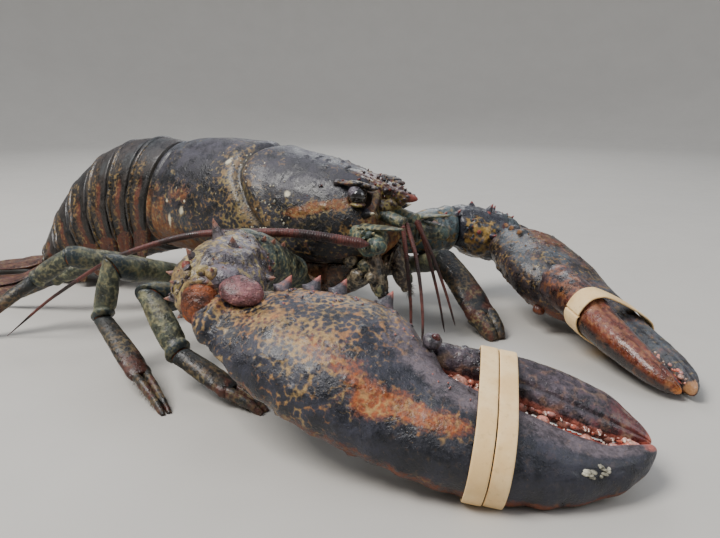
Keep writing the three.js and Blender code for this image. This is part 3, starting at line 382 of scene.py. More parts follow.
class Bench:
    """Adds nodes to a tree: a number or colour goes into the named input, and a socket is linked to it. The
    short methods each add one node and return its output: a mix of two colours, a sum, a smooth step from low
    to high, a mask of the mesh, a noise cloud, or the distance to the nearest cell's middle."""

    def __init__(self, tree):
        self.tree = tree

    def __call__(self, kind, inputs=None, **settings):
        node = self.tree.nodes.new("ShaderNode" + kind)
        for key, value in settings.items():
            setattr(node, key, value)
        for key, value in (inputs or {}).items():
            if isinstance(value, bpy.types.NodeSocket):
                self.tree.links.new(value, node.inputs[key])
            else:
                node.inputs[key].default_value = value
        return node

    @cached_property
    def coordinates(self):
        return self("TexCoord").outputs

    def mix(self, share, a, b):
        return self("Mix", {0: share, 6: a, 7: b}, data_type="RGBA").outputs[2]

    def maths(self, operation, a, b):
        return self("Math", {0: a, 1: b}, operation=operation).outputs[0]

    def add(self, a, b):
        return self.maths("ADD", a, b)

    def less(self, a, b):
        return self.maths("SUBTRACT", a, b)

    def times(self, a, b):
        return self.maths("MULTIPLY", a, b)

    def vector(self, operation, inputs):
        return self("VectorMath", inputs, operation=operation).outputs[0]

    def span(self, value, low, high, to_low=0.0, to_high=1.0):
        inputs = {"Value": value, "From Min": low, "From Max": high, "To Min": to_low, "To Max": to_high}
        return self("MapRange", inputs, interpolation_type="SMOOTHSTEP").outputs[0]

    def mask(self, name):
        return self("Attribute", attribute_name=name).outputs["Fac"]

    def cloud(self, scale, detail=4.0, roughness=0.55):
        inputs = {"Scale": scale, "Detail": detail, "Roughness": roughness}
        return self("TexNoise", {"Vector": self.coordinates["Object"], **inputs}).outputs[0]

    def cells(self, scale, place=None):
        place = place or self.coordinates["Object"]
        return self("TexVoronoi", {"Vector": place, "Scale": scale}).outputs["Distance"]


TONES = ("Dark", "Middle", "Warm", "Fleck", "Cool", "Tip")


def new_group(name, inputs, outputs):
    """An empty shader group with its sockets, and a bench on it."""
    tree = bpy.data.node_groups.new(name, "ShaderNodeTree")
    for label, value in inputs.items():
        kind = "NodeSocketFloat" if isinstance(value, float) else "NodeSocketColor"
        tree.interface.new_socket(label, in_out="INPUT", socket_type=kind).default_value = value
    for label, kind in outputs.items():
        tree.interface.new_socket(label, in_out="OUTPUT", socket_type=kind)
    return Bench(tree), tree.nodes.new("NodeGroupInput").outputs, tree.nodes.new("NodeGroupOutput").inputs


def shell_pattern():
    """Living shell. Dark and middle tones lie in clouds whose brightness wanders at every size. Where their
    masks say so there come a cool tone, a warm tone and a net of flecks that leaves dark spots in its
    meshes, and pale tips. Faces that look up get a grey-lavender painted sky sheen, a painted reflection.
    The dark mask goes to near black: it holds dark joints, seams and spots, and painted shade in
    creases, hollows and undersides."""
    numbers = {"Cell scale": 150.0, "Roughness": 0.35, "Granules": 0.4, "Painted sky sheen": 0.3}
    bench, given, out = new_group(
        "shell_pattern",
        {**dict.fromkeys(TONES, (0.2, 0.2, 0.2, 1.0)), **numbers},
        {"Colour": "NodeSocketColor", "Roughness": "NodeSocketFloat", "Height": "NodeSocketFloat"},
    )
    broad = bench.cloud(24.0, 8.0, 0.62)
    blotch = bench.cloud(85.0, 8.0, 0.68)
    fine = bench.cloud(430.0, 6.0, 0.7)

    def swing(cloud, weight):
        """A cloud brought about zero, times its weight."""
        return bench.times(bench.less(cloud, 0.5), weight)

    ragged = bench.add(swing(blotch, 1.3), swing(fine, 0.7))

    def patch(name, low, high, strength):
        """A mask whose edge is torn by the clouds, times its strength."""
        mask = bench.mask(name)
        torn = bench.times(bench.span(bench.add(mask, ragged), low, high), bench.span(mask, 0.0, 0.15))
        return bench.times(torn, strength)

    base = bench.span(bench.add(broad, swing(blotch, 0.75)), 0.34, 0.66)
    colour = bench.mix(base, given["Dark"], given["Middle"])
    colour = bench.mix(patch("cool", 0.2, 0.85, 0.85), colour, given["Cool"])
    colour = bench.mix(patch("warm", 0.25, 0.8, 0.9), colour, given["Warm"])
    place = bench.coordinates["Object"]
    stir = bench("TexNoise", {"Vector": place, "Scale": 120.0, "Detail": 3.0}).outputs["Color"]
    stir = bench.vector("SUBTRACT", {0: stir, 1: (0.5, 0.5, 0.5)})
    stirred = bench.vector("ADD", {0: bench.vector("SCALE", {0: stir, "Scale": 0.0045}), 1: place})
    cells = bench.cells(given["Cell scale"], stirred)
    net = bench.add(bench.times(cells, 1.8), bench.times(ragged, 0.85))
    above = bench.less(net, bench.less(1.42, bench.times(bench.mask("fleck"), 0.74)))
    spot = bench.times(bench.span(above, -0.3, 0.45), bench.span(bench.mask("fleck"), 0, 0.1, 0.0, 0.82))
    fleck = bench.mix(bench.span(bench.cloud(60.0), 0.4, 0.62, 0.0, 0.5), given["Fleck"], given["Warm"])
    colour = bench.mix(spot, colour, fleck)
    shade = bench.add(bench.times(blotch, 0.5), bench.times(fine, 0.5))
    shading = {"Color": colour, "Value": bench.span(shade, 0.38, 0.62, 0.5, 1.5)}
    colour = bench("HueSaturation", shading).outputs[0]
    # Painted sky sheen: faces that look up are mixed towards grey-lavender, a painted reflection.
    facing = bench("SeparateXYZ", {0: bench.coordinates["Normal"]}).outputs[2]
    painted_sheen = bench.times(given["Painted sky sheen"], bench.span(blotch, 0.35, 0.62, 0.45, 1.0))
    colour = bench.mix(bench.times(bench.span(facing, 0.2, 0.95), painted_sheen), colour, paint("7a7886"))
    colour = bench.mix(bench.span(bench.cells(900.0), 0.28, 0.1, 0.0, 0.45), colour, given["Dark"])
    dust = bench.times(bench.span(bench.cells(480.0), 0.16, 0.06), bench.span(fine, 0.5, 0.64, 0.0, 0.6))
    colour = bench.mix(dust, colour, given["Fleck"])
    # Near black from the dark mask: real dark joints, seams and spots, and painted shade in creases, hollows
    # and undersides.
    colour = bench.mix(patch("dark", 0.1, 0.9, 0.85), colour, (0.006, 0.006, 0.007, 1.0))
    colour = bench.mix(patch("tip", 0.2, 0.8, 0.9), colour, given["Tip"])
    gloss = bench.add(given["Roughness"], bench.span(blotch, 0.38, 0.62, -0.14, 0.16))
    gloss = bench.add(gloss, bench.span(fine, 0.4, 0.62, -0.06, 0.1))
    pits = bench.span(bench.cells(260.0), 0.0, 0.2, 0.0, 0.45)
    granules = bench.times(bench.span(bench.cells(540.0), 0.5, 0.0), given["Granules"])
    waves = bench.times(bench.cloud(60.0, 8.0, 0.6), 2.2)
    height = bench.add(bench.add(bench.add(pits, granules), waves), bench.times(fine, 0.5))
    for label, value in (("Colour", colour), ("Roughness", gloss), ("Height", height)):
        bench.tree.links.new(value, out[label])
    return bench.tree


def material(name, finish, **constants):
    """A material whose tree is made by finish(bench), which returns the varying inputs of its shader. The
    constants go on the shader's own sockets."""
    made = bpy.data.materials.new(name)
    made.use_nodes = True
    made.node_tree.nodes.clear()
    bench = Bench(made.node_tree)
    shader = bench("BsdfPrincipled", {**finish(bench), **constants})
    bench("OutputMaterial", {"Surface": shader.outputs[0]})
    return made


SHELL_PATTERN = shell_pattern()


def shell(name, tones, cell_scale, roughness, coat, relief, granules, painted_sheen):
    """A shell finish: the pattern's colour, roughness and height, in mm, under a thin wet coat."""

    def finish(bench):
        """The pattern's outputs with this shell's own tones and numbers."""
        look = bench("Group", node_tree=SHELL_PATTERN)
        numbers = {"Cell scale": cell_scale, "Roughness": roughness, "Granules": granules, "Painted sky sheen": painted_sheen}
        for label, value in {**dict(zip(TONES, map(paint, tones.split()))), **numbers}.items():
            look.inputs[label].default_value = value
        bump = bench("Bump", {"Strength": 0.85, "Distance": relief / 1000, "Height": look.outputs["Height"]})
        varying = {"Base Color": look.outputs["Colour"], "Roughness": look.outputs["Roughness"]}
        return {**varying, "Normal": bump.outputs[0]}

    return material(name, finish, **{"Coat Weight": coat, "Coat Roughness": 0.1, "IOR": 1.5})


def band_finish(bench):
    """Cream rubber: faint clouding, small tan specks, darker where the band comes near the floor, and a fine
    moulded grain.
    """
    cloud = bench.cloud(60.0, 5.0)
    colour = bench.mix(bench.span(cloud, 0.35, 0.7), paint("efc88c"), paint("fbdba6"))
    colour = bench.mix(bench.span(bench.cloud(380.0), 0.55, 0.75, 0.0, 0.3), colour, paint("b8925f"))
    # Darker where the band comes near the floor.
    colour = bench.mix(bench.times(bench.mask("dark"), 0.5), colour, paint("8a7350"))
    grain = bench("Bump", {"Strength": 0.35, "Distance": 0.0002, "Height": bench.cloud(900.0)})
    gloss = bench.span(cloud, 0.3, 0.7, 0.42, 0.58)
    return {"Base Color": colour, "Roughness": gloss, "Normal": grain.outputs[0]}


def eye_finish(bench):
    """A dark faceted eye: a fine honeycomb of cells, brown at the rim."""
    cells = bench.cells(2100.0)
    colour = bench.mix(bench.span(cells, 0.2, 0.6, 0.0, 0.4), paint("0c0908"), paint("1d1512"))
    colour = bench.mix(bench.mask("warm"), colour, paint("8a7a5c"))
    facets = bench("Bump", {"Strength": 0.25, "Distance": 0.0001, "Height": cells})
    gloss = bench.span(cells, 0, 0.7, 0.12, 0.2)
    return {"Base Color": colour, "Roughness": gloss, "Normal": facets.outputs[0]}


def floor_finish(bench):
    """Plain pale floor with a barely visible tooth."""
    colour = bench.mix(bench.cloud(9.0), paint("b9b6b0"), paint("c2bfb9"))
    return {"Base Color": colour, "Roughness": bench.span(bench.cloud(40.0), 0.3, 0.7, 0.6, 0.75)}


# Each look: material, the six tones, cells, roughness, coat, relief in mm, granules and painted sky sheen
SHELL_LOOKS = {
    "carapace": (
        "carapace_shell", "0e0f14 2b2932 754318 857448 3a4649 d6cdb0", 320, 0.48, 0.1, 0.6, 0.4, 0.16,
    ),
    "rostrum": (
        "rostrum_shell", "150f10 3c3034 4c261d 7c7038 45403f 7c3a30", 320, 0.42, 0.25, 0.6, 0.4, 0.1,
    ),
    "tail": (
        "tail_shell", "0c0a08 261e18 50230f 7c6538 31393b 907c5e", 340, 0.44, 0.15, 0.6, 0.4, 0.1,
    ),
    "crusher": (
        "crusher_shell", "0e111c 2b2c38 8f4610 9a7d4a 5f555a b5685c", 340, 0.47, 0.1, 0.8, 0.2, 0.05,
    ),
    "cutter": (
        "cutter_shell", "100d0e 2f2427 66300f 86703f 46525a a87a52", 320, 0.44, 0.14, 0.8, 0.3, 0.08,
    ),
    "finger": (
        "finger_shell", "1a1216 3f3238 561813 7a624e 544850 c97a66", 220, 0.36, 0.25, 0.6, 0.4, 0.12,
    ),
    "finger_left": (
        "cutter_finger_shell", "170a08 38201a 6c2d12 8a5a34 4e434a c07430", 220, 0.36, 0.25, 0.6, 0.4, 0.12,
    ),
    "wrist": (
        "wrist_shell", "1f1a1b 5f565b 6c3c1e a8965c 5e5862 9a6650", 290, 0.4, 0.2, 1.4, 0.4, 0.06,
    ),
    "boss": (
        "wrist_boss_shell", "3c1a1c 7f4a4a 7a3428 a0706a 6c4a50 8c4038", 300, 0.45, 0.1, 1.2, 0.4, 0.03,
    ),
    "wrist_left": (
        "wrist_left_shell", "12141c 2c2d37 451612 a07f36 3a4e50 8a3c36", 200, 0.36, 0.25, 0.6, 0.4, 0.12,
    ),
    "leg": (
        "leg_shell", "2a2f27 585d4a 54421f 807d5c 1c3238 5a2f2a", 320, 0.5, 0.08, 0.8, 0.4, 0.1,
    ),
    "foot": (
        "foot_shell", "121312 2f2c24 4c2416 6c5f40 1c2f31 4a241f", 320, 0.48, 0.08, 0.8, 0.4, 0.04,
    ),
    "belly": (
        "belly_shell", "20130c 4a311f 643218 8c6e4a 443a30 9c8058", 150, 0.36, 0.25, 0.4, 0.4, 0,
    ),
    "mouth": (
        "mouth_shell", "110c09 362820 4c2418 8f8268 364440 a8946c", 300, 0.36, 0.25, 0.8, 0.4, 0.05,
    ),
    "gum": (
        "claw_gum", "3a0f0c 6e241c 8a3424 b06a54 5c2a2a b87868", 300, 0.25, 0.5, 0.4, 0.4, 0,
    ),
    "feeler": (
        "feeler_shell", "1e0e0c 40221e 5c2d26 745844 2c2826 5c302a", 400, 0.5, 0.05, 0.3, 0.4, 0.08,
    ),
    "head": (
        "head_shell", "141b1a 43524c 50341e 8f8a64 44625c b0a47c", 320, 0.5, 0.12, 1, 0.4, 0.08,
    ),
    "tooth": (
        "tooth_enamel", "9c6656 cfa896 c4624a ecdccc b97c7c ecdfcc", 300, 0.25, 0.25, 0.2, 0.4, 0,
    ),
    "membrane": (
        "joint_membrane", "3a180a 7c3c14 8f4a1a 8a5a28 4a2b1e 7c4a20", 300, 0.5, 0.08, 1.2, 0.4, 0,
    ),
    "hair": (
        "bristle_horn", "2c2618 4f452c 4c381d 665a3a 38342a 665a3a", 400, 0.6, 0, 0.1, 0.4, 0,
    ),
    "barnacle": (
        "barnacle_plate", "8f8b7a bfb9a6 a89c78 d6d2c2 948f7e dcd8c8", 500, 0.65, 0, 0.6, 0.4, 0,
    ),
}
LOOKS = {look: shell(*values) for look, values in SHELL_LOOKS.items()}
LOOKS["band"] = material("band_rubber", band_finish, IOR=1.5)
LOOKS["eye"] = material("eye_lens", eye_finish, **{"Coat Weight": 1.0, "Coat Roughness": 0.04})


# Carapace

SHELL_AT = [0, 30, 65, 105, 148, 190, 222, 240]
back_z = profile(SHELL_AT, [157, 162, 163, 161, 155.5, 148.5, 137.5, 128])
belly_x = profile(SHELL_AT, [-14, 18, 58, 102, 148, 195, 226, 243])
belly_z = profile(SHELL_AT, [50, 48, 48, 49, 52, 58, 66, 78])
shell_half = profile(SHELL_AT, [50, 56, 58.5, 58, 54, 46, 35, 25])
groove_x = profile([-40, 0, 20, 45, 60, 90], [176, 148, 130, 113, 112, 124])


def shell_middle(x):
    """The height of the carapace's centre line, 0.4 of the way up."""
    return belly_z(x) + 0.4 * (back_z(x) - belly_z(x))


def seat_z(x):
    """The plane where the carapace sits on the breastplate."""
    return 54.15 + 0.05 * x


def carapace_reliefs(x, folded):
    """Depths along the normal: the cervical groove and a swelling before and behind it, the gill line above
    the flank, the fine midline, the rear margin's groove and rim, and a hollow behind the cheek."""
    open_to = smooth(-60, -30, folded)
    groove = -3.4 * bell(x, groove_x(folded), 5.2) * open_to
    swell = 1.1 * (bell(x, groove_x(folded) + 13, 9) + bell(x, groove_x(folded) - 14, 10)) * open_to
    line_at = profile([0, 60, 118], [64, 57, 50])(x)
    gill = -1.2 * bell(folded, line_at, 3.2) * smooth(4, 20, x) * smooth(112, 96, x)
    middle = -0.9 * bell(folded, 90, 1.3) * smooth(188, 170, x)
    rear = -1.8 * bell(x, 8.5, 1.9) + 0.7 * bell(x, 3.5, 3.0)
    hollow = -1.6 * bell(x, profile([-50, 10], [196, 168])(folded), 4.0) * bell(folded, -18, 24)
    return groove + swell + gill + middle + rear + hollow


def socket_carve(grid, normal, side):
    """Points inside the eye's hollow go inwards along their normals to its far wall: the root of |(p - n s
    - c) / r| = 1 for s."""
    radii = np.array([12, 12, 10.5])
    p = (grid - np.array([232, side * 28.5, 124.0])) / radii
    d = -normal / radii
    aa, bb, cc = (d * d).sum(-1), (p * d).sum(-1), (p * p).sum(-1) - 1
    inside = cc < 0
    s = (-bb + np.sqrt(np.maximum(bb * bb - aa * cc, 0))) / aa
    return np.where(inside[..., None], grid - normal * np.clip(s, 0, 22)[..., None], grid), inside


# Pale scrapes on the right flank: x, z and their half widths
SCRAPES = (
    (42, 89, 2.2, 7), (58, 100, 3.2, 4), (37, 107, 1.6, 2), (169, 123, 3.2, 2.4), (61, 109, 1.5, 1.5),
    (98, 146, 3, 3), (47, 120, 1.2, 1.4),
)


def carapace_masks(grid, x, folded, carved):
    """A net round the groove, rust low at the rear, an orange stripe behind the eye over a dark one, a
    flecked cheek, a dark brow, pale scrapes on the right side, and painted shade in the grooves and the eye
    sockets."""
    z = grid[..., 2]
    above_seat = z - seat_z(grid[..., 0])
    blotch = rough(grid, 24.0, 7.0)
    near_groove = bell(x, groove_x(folded) - 5, 17) * smooth(84, 50, folded) * smooth(-35, 5, folded)
    flank = smooth(40, 5, folded) * smooth(-70, -20, folded)
    low, low_rear = smooth(26, 4, above_seat), smooth(125, 50, x) * smooth(52, 8, folded)
    stripe = bell(z, 109 + 0.22 * (x - 175), 4.6) * smooth(160, 178, x) * smooth(232, 222, x)
    under_stripe = bell(z, 97 + 0.15 * (x - 175), 6.5) * smooth(140, 165, x) * smooth(232, 215, x)
    cheek = bell(x, 221, 5) * bell(z, 97, 5) + 0.7 * bell(x, 160, 8) * bell(z, 88, 5)
    brow = bell(z, 133, 3.0) * smooth(205, 216, x) * smooth(240, 232, x)
    scrapes = sum(bell(x, at, wide) * bell(z, level, tall) for at, level, wide, tall in SCRAPES)
    on_right = grid[..., 1] < 0
    # Painted shade: darkening in the cervical groove and in the rear margin's groove.
    creases = 0.8 * bell(x, groove_x(folded), 3.5) * smooth(-60, -30, folded) + 0.8 * bell(x, 8.5, 1.5)
    fleck = 0.9 * near_groove + 0.2 * flank + 0.08 * (blotch > 0.1) + 0.55 * stripe + 0.9 * cheek
    warm = low_rear * (0.3 + 0.45 * blotch + 0.5 * low) + 0.3 * low + 1.1 * stripe
    return {
        # The creases and carved terms are painted shade, in the grooves and the eye sockets; the stripe and
        # brow terms are the shell's own dark colour.
        "dark": creases + 0.7 * carved + 0.65 * under_stripe * (1 - cheek) + 0.7 * brow,
        "fleck": fleck + 0.3 * smooth(215, 235, x),
        "warm": warm + 0.25 * flank * smooth(-0.1, 0.4, blotch) + 0.5 * smooth(222, 238, x),
        "tip": 0.45 * smooth(3.5, 1.0, x) + 0.3 * smooth(5, 1, above_seat) + 0.9 * scrapes * on_right,
        "cool": 0.45 * smooth(0.1, 0.5, rough(grid, 30.0, 12.0)) + 0.35 * near_groove,
    }


def carapace_surface():
    """Rings from the rear edge to the face: y = half width cos a and the arch between a belly and a back
    point, moved by the reliefs, hollowed for the eyes and cut flat along the seat plane."""
    x, share = rows(0, 240, 232, (2.5, 4), (0.06, 0.12), 6)
    angle = turns(230)
    folded = folded_degrees(angle)
    rise = np.sin(angle)
    upper = rise > 0
    centre_z = shell_middle(x)
    centre_x = belly_x(x) + 0.4 * (x - belly_x(x))
    arm_x = np.where(upper, x, belly_x(x)) - centre_x
    arm_z = np.where(upper, back_z(x), belly_z(x)) - centre_z
    flat = np.where(upper, np.abs(rise), np.abs(rise) ** 0.75) * share
    tuck = np.where(upper, 1, 1 - 0.16 * rise * rise)
    y = shell_half(x) * np.cos(angle) * share * tuck
    grid = np.stack([centre_x + arm_x * flat, y, centre_z + arm_z * flat], -1)
    grid = pushed(grid, carapace_reliefs(x, folded) * share)
    fade = smooth(0, 6, x) * smooth(240, 232, x)
    wart = np.maximum(rough(grid, 5.0, 3.0) - 0.28, 0) * smooth(120, 190, x) * 3.2
    grid = pushed(grid, (0.7 * rough(grid, 26.0) + 0.18 * rough(grid, 6.0, 2.0) + wart) * fade)
    normal = outward(grid)
    carved = np.zeros(y.shape, bool)
    for side in (-1, 1):
        grid, inside = socket_carve(grid, normal, side)
        carved |= inside
    grid[..., 2] = np.maximum(grid[..., 2], seat_z(grid[..., 0]))
    return closed(grid, "carapace", **carapace_masks(grid, x, folded, carved))


BEAK_AT = [186, 205, 222, 240, 256, 268]
beak_half = profile(BEAK_AT, [20, 15, 10.5, 8, 5, 1.2])
beak_deep = profile(BEAK_AT, [10, 10, 9, 7.5, 5.5, 1.6])
beak_z = profile(BEAK_AT, [138, 135, 131, 126.5, 123, 121.5])


def beak_surface():
    """The beak: an ellipse at each place along it, with raised edges and a hollow midline on top."""
    x, share = rows(186, 268.5, 90, (1, 3), (0.1, 0.9))
    angle = turns(64)
    degrees, top = np.degrees(angle), np.maximum(np.sin(angle), 0)
    edges = 0.9 * (bell(degrees, 42, 14) + bell(degrees, 138, 14))
    hollow = edges - 1.7 * bell(degrees, 90, 26) * smooth(188, 205, x)
    y, z = np.cos(angle) * share * beak_half(x), beak_z(x) + np.sin(angle) * share * beak_deep(x)
    grid = np.stack([x + 0 * angle, y, z], -1)
    wart = np.maximum(rough(grid, 4.5, 6.0) - 0.15, 0) * 4.5 * smooth(205, 225, x)
    grid = pushed(grid, (hollow + wart) * share * smooth(268, 250, x) + 0.25 * rough(grid, 3.0))
    low, fore = smooth(0.3, -0.4, np.sin(angle)), smooth(205, 225, x)
    # The lower face of the beak's fore part is flecked, and made darker by painted shade.
    return closed(
        grid, "rostrum", fleck=0.25 + 0.75 * low * fore, warm=0.5 * fore + 0.2 * top,
        tip=0.8 * smooth(254, 266, x), dark=0.3 * low * fore,
    )


def barnacles(count, seed):
    """Small flat ellipsoids of a few faces, scattered over the right flank near the groove, half sunk in
    it."""
    draw = np.random.default_rng(seed)
    surfaces = []
    for _ in range(count):
        folded = draw.uniform(-8, 62)
        x = groove_x(folded) + draw.normal(6, 16)
        y = -shell_half(x) * math.cos(math.radians(folded))
        rise = (back_z(x) - shell_middle(x)) * math.sin(math.radians(max(folded, 0)))
        centre = np.array([x, y * 1.006, shell_middle(x) + rise])
        out = unit(np.array([0, y / shell_half(x) ** 2, rise / 61**2]))
        _, side, top = frame_of(centre, centre + out, np.array([0.9, 0.1, 0.3]))
        r = draw.uniform(0.6, 1.5)
        surfaces.append(knob(centre, [r, r * draw.uniform(0.6, 1), 0.7], "barnacle", [side, top, out], 8))
    return surfaces


def beak_warts(count, seed):
    """Warts over the beak and the face under it: the low ones are lumps, the taller ones short cones that
    stand out from the ellipse there."""
    draw = np.random.default_rng(seed)
    surfaces = []
    for _ in range(count):
        x, turn = draw.uniform(214, 264), math.radians(draw.uniform(-60, 240))
        across, up = math.cos(turn), math.sin(turn)
        place = [x, across * beak_half(x) * 0.95, beak_z(x) + up * beak_deep(x) * 0.95]
        height = draw.uniform(1.0, 2.6)
        if height < 1.9:
            radii = [draw.uniform(1.0, 2.2), draw.uniform(0.9, 1.6), 1.1]
            surfaces.append(knob(place, radii, "rostrum", None, 12, 0.2, warm=0.3, cool=0.3))
        else:
            surfaces.append(spike(place, [0.35, across, up], 1.2, height, "rostrum", 0.1, 8, 0.4))
    return surfaces


# Lumps of the face under the beak, and the ridge over the eye: place, half axes and look
FACE_LUMPS = (
    ((229, 11, 117), (11, 6, 7), "rostrum"), ((240, 8, 114), (9, 6, 6), "rostrum"),
    ((222, 19, 110), (8, 6, 5), "rostrum"), ((236, 17, 108), (7, 6, 5), "rostrum"),
    ((246, 6, 117), (7, 4, 4), "rostrum"),
)
BROW_RIDGE = (
    ((216, 26.5, 133.5), (9, 3.2, 2.0), "carapace"), ((224, 25, 133.6), (9, 3.6, 2.4), "carapace"),
    ((231, 23, 132.4), (8, 3.6, 2.4), "carapace"), ((237, 20, 130.2), (7, 3.4, 2.3), "carapace"),
)
# Thorns of the head: place, direction, radius, height and look
HEAD_THORNS = (
    ((208, 26, 133), (1, 0.2, 0.25), 2.6, 9, "rostrum"),
    ((236, 25, 110), (1, 0.35, 0.05), 3.6, 11, "carapace"),
    ((196, 32.5, 130), (1, 0.5, 0.4), 1.5, 3.5, "rostrum"),
    ((186, 39, 121.5), (1, 0.5, 0.3), 1.3, 3, "rostrum"),
)

carapace_parts = [carapace_surface(), beak_surface()] + barnacles(70, 5) + beak_warts(70, 8)
for side in (-1, 1):
    carapace_parts += knobs(0, side, FACE_LUMPS, 30, 1.1, fleck=0.85, warm=0.45)
for side in (-1, 1):
    carapace_parts += knobs(0, side, BROW_RIDGE, 30, 1.1, fleck=0.4, warm=0.35)
    for at, height in ((216, 9), (230, 9), (243, 8)):
        root = [at, side * (beak_half(at) - 1), beak_z(at) + 1]
        carapace_parts.append(spike(root, [1, side * 0.55, 0.25], 2.6, height, "rostrum"))
    for place, aim, radius, height, look in HEAD_THORNS:
        mirror = np.array([1, side, 1])
        carapace_parts.append(spike(place * mirror, aim * mirror, radius, height, look))
piece("dressed_carapace", carapace_parts)

# Underside of the thorax, with a socket stub for each limb

# Hip, knee, wrist and foot of each walking leg; hip, first joint, elbow and wrist of each claw arm
WALKING = {
    "R1": [[138, -34, 28], [146, -168, 60], [181, -174, 26], [254, -168, 0]],
    "R2": [[104, -34, 28], [108, -172, 78], [104, -181, 40], [203, -206, 0]],
    "R3": [[70, -34, 28], [14, -149, 69], [-19, -163, 46], [-50, -226, 0]],
    "R4": [[38, -32, 28], [-20, -100, 50], [-58, -124, 32], [-124, -152, 0]],
    "L1": [[128, 39, 28], [199, 108, 36], [250, 82, 53], [323, 46, 0]],
    "L2": [[104, 34, 28], [92, 152, 75], [86, 176, 42], [72, 232, 0]],
    "L3": [[70, 34, 28], [18, 142, 70], [-9, 162, 46], [-47, 222, 0]],
    "L4": [[38, 32, 28], [-24, 98, 52], [-61, 120, 34], [-122, 152, 0]],
}
ARMS = {
    "R": [[174, -38, 42], [186, -62, 64], [200, -128, 88], [230, -193, 77]],
    "L": [[174, 38, 42], [188, 62, 66], [230, 134, 74], [272, 178, 60]],
}
TRUNK_AT = [14, 60, 140, 190, 232]
TRUNK_TOP = 86
trunk_half = profile(TRUNK_AT, [20, 30, 30, 26, 14])
trunk_low = profile(TRUNK_AT, [30, 22, 21, 28, 50])


def flat_size(value):
    """A size that is the same all along."""
    return lambda t: value + 0 * t


def trunk_surface():
    """The breastplate: ellipses from its top down to the low line, with a notch between each pair of limbs
    and a middle furrow, cut off under the seat plane."""
    x, share = rows(14, 232, 110, (4, 4), (0.25, 0.25))
    angle = turns(80)
    middle = (TRUNK_TOP + trunk_low(x)) / 2
    y, z = np.cos(angle) * share * trunk_half(x), middle + np.sin(angle) * share * (TRUNK_TOP - middle)
    grid = np.stack([x + 0 * angle, y, z], -1)
    under = smooth(0.1, -0.5, np.sin(angle))
    notches = -1.6 * np.maximum(np.cos((x - 121) / 34 * 2 * math.pi), 0) ** 3
    ribs = notches - 1.6 * bell(np.degrees(angle), 270, 7)
    grid = pushed(grid, ribs * under * share + 0.3 * rough(grid, 9.0))
    grid[..., 2] = np.minimum(grid[..., 2], seat_z(grid[..., 0]) - 0.45)
    # Painted shade in the notches and the middle furrow on the underside.
    return closed(grid, "belly", fleck=0.3, dark=0.3 * under * (ribs < -0.8), warm=0.4)


def stub_tint(t, angle, grid):
    """Even mottle, warmer towards the hip."""
    return {"fleck": 0.4, "warm": 0.5 * t}


def stub_surface(points, radius):
    """A limb's socket: a short length from inside the breastplate to the hip."""
    hip, after = np.array(points[:2], float)
    inner = np.array([hip[0], hip[1] * 0.3, hip[2] + 8])
    girth = flat_size(radius), flat_size(radius * 0.92)
    cuts = unit(hip - inner), unit(after - hip)
    return limb(inner, hip, *cuts, *girth, "belly", stub_tint, around=30, count=20, rim=0.06)


stubs = [stub_surface(places, 9.5) for places in WALKING.values()]
stubs += [stub_surface(places, 15) for places in ARMS.values()]
piece("dressed_thorax_underside", [trunk_surface()] + stubs)

# Walking legs


def leg_tint(t, angle, grid):
    """Cool dark joints at both ends and olive mottle between them."""
    blotch = rough(grid, 14.0, 4.0)
    ends = smooth(0.14, 0.02, t) + smooth(0.86, 0.96, t)
    warm, dark = 0.45 * smooth(0, 0.5, blotch), 0.5 * ends + 0.5 * bell(t, 0.83, 0.02)
    return {"cool": 0.9 * ends, "fleck": 0.5 + 0.35 * blotch, "warm": warm, "dark": dark}


def foot_tint(t, angle, grid):
    """Cool and dark at the wrist, flecked in the middle, maroon towards the toes."""
    return {
        "fleck": 0.75 * bell(t, 0.5, 0.25),
        "warm": 0.8 * smooth(0.35, 0.75, t) * smooth(-0.3, 0.2, rough(grid, 14.0, 4.0)),
        "cool": 0.6 * bell(t, 0, 0.14),
        "dark": 0.55 * smooth(0.3, 0, t) + 0.3 * smooth(0.8, 1, t),
    }


def toe_tint(t, angle, grid):
    """Maroon mottle with a paler end."""
    return {"tip": 0.4 * smooth(0.8, 1, t), "warm": 0.75 * smooth(-0.3, 0.3, rough(grid, 9.0)), "fleck": 0.55}


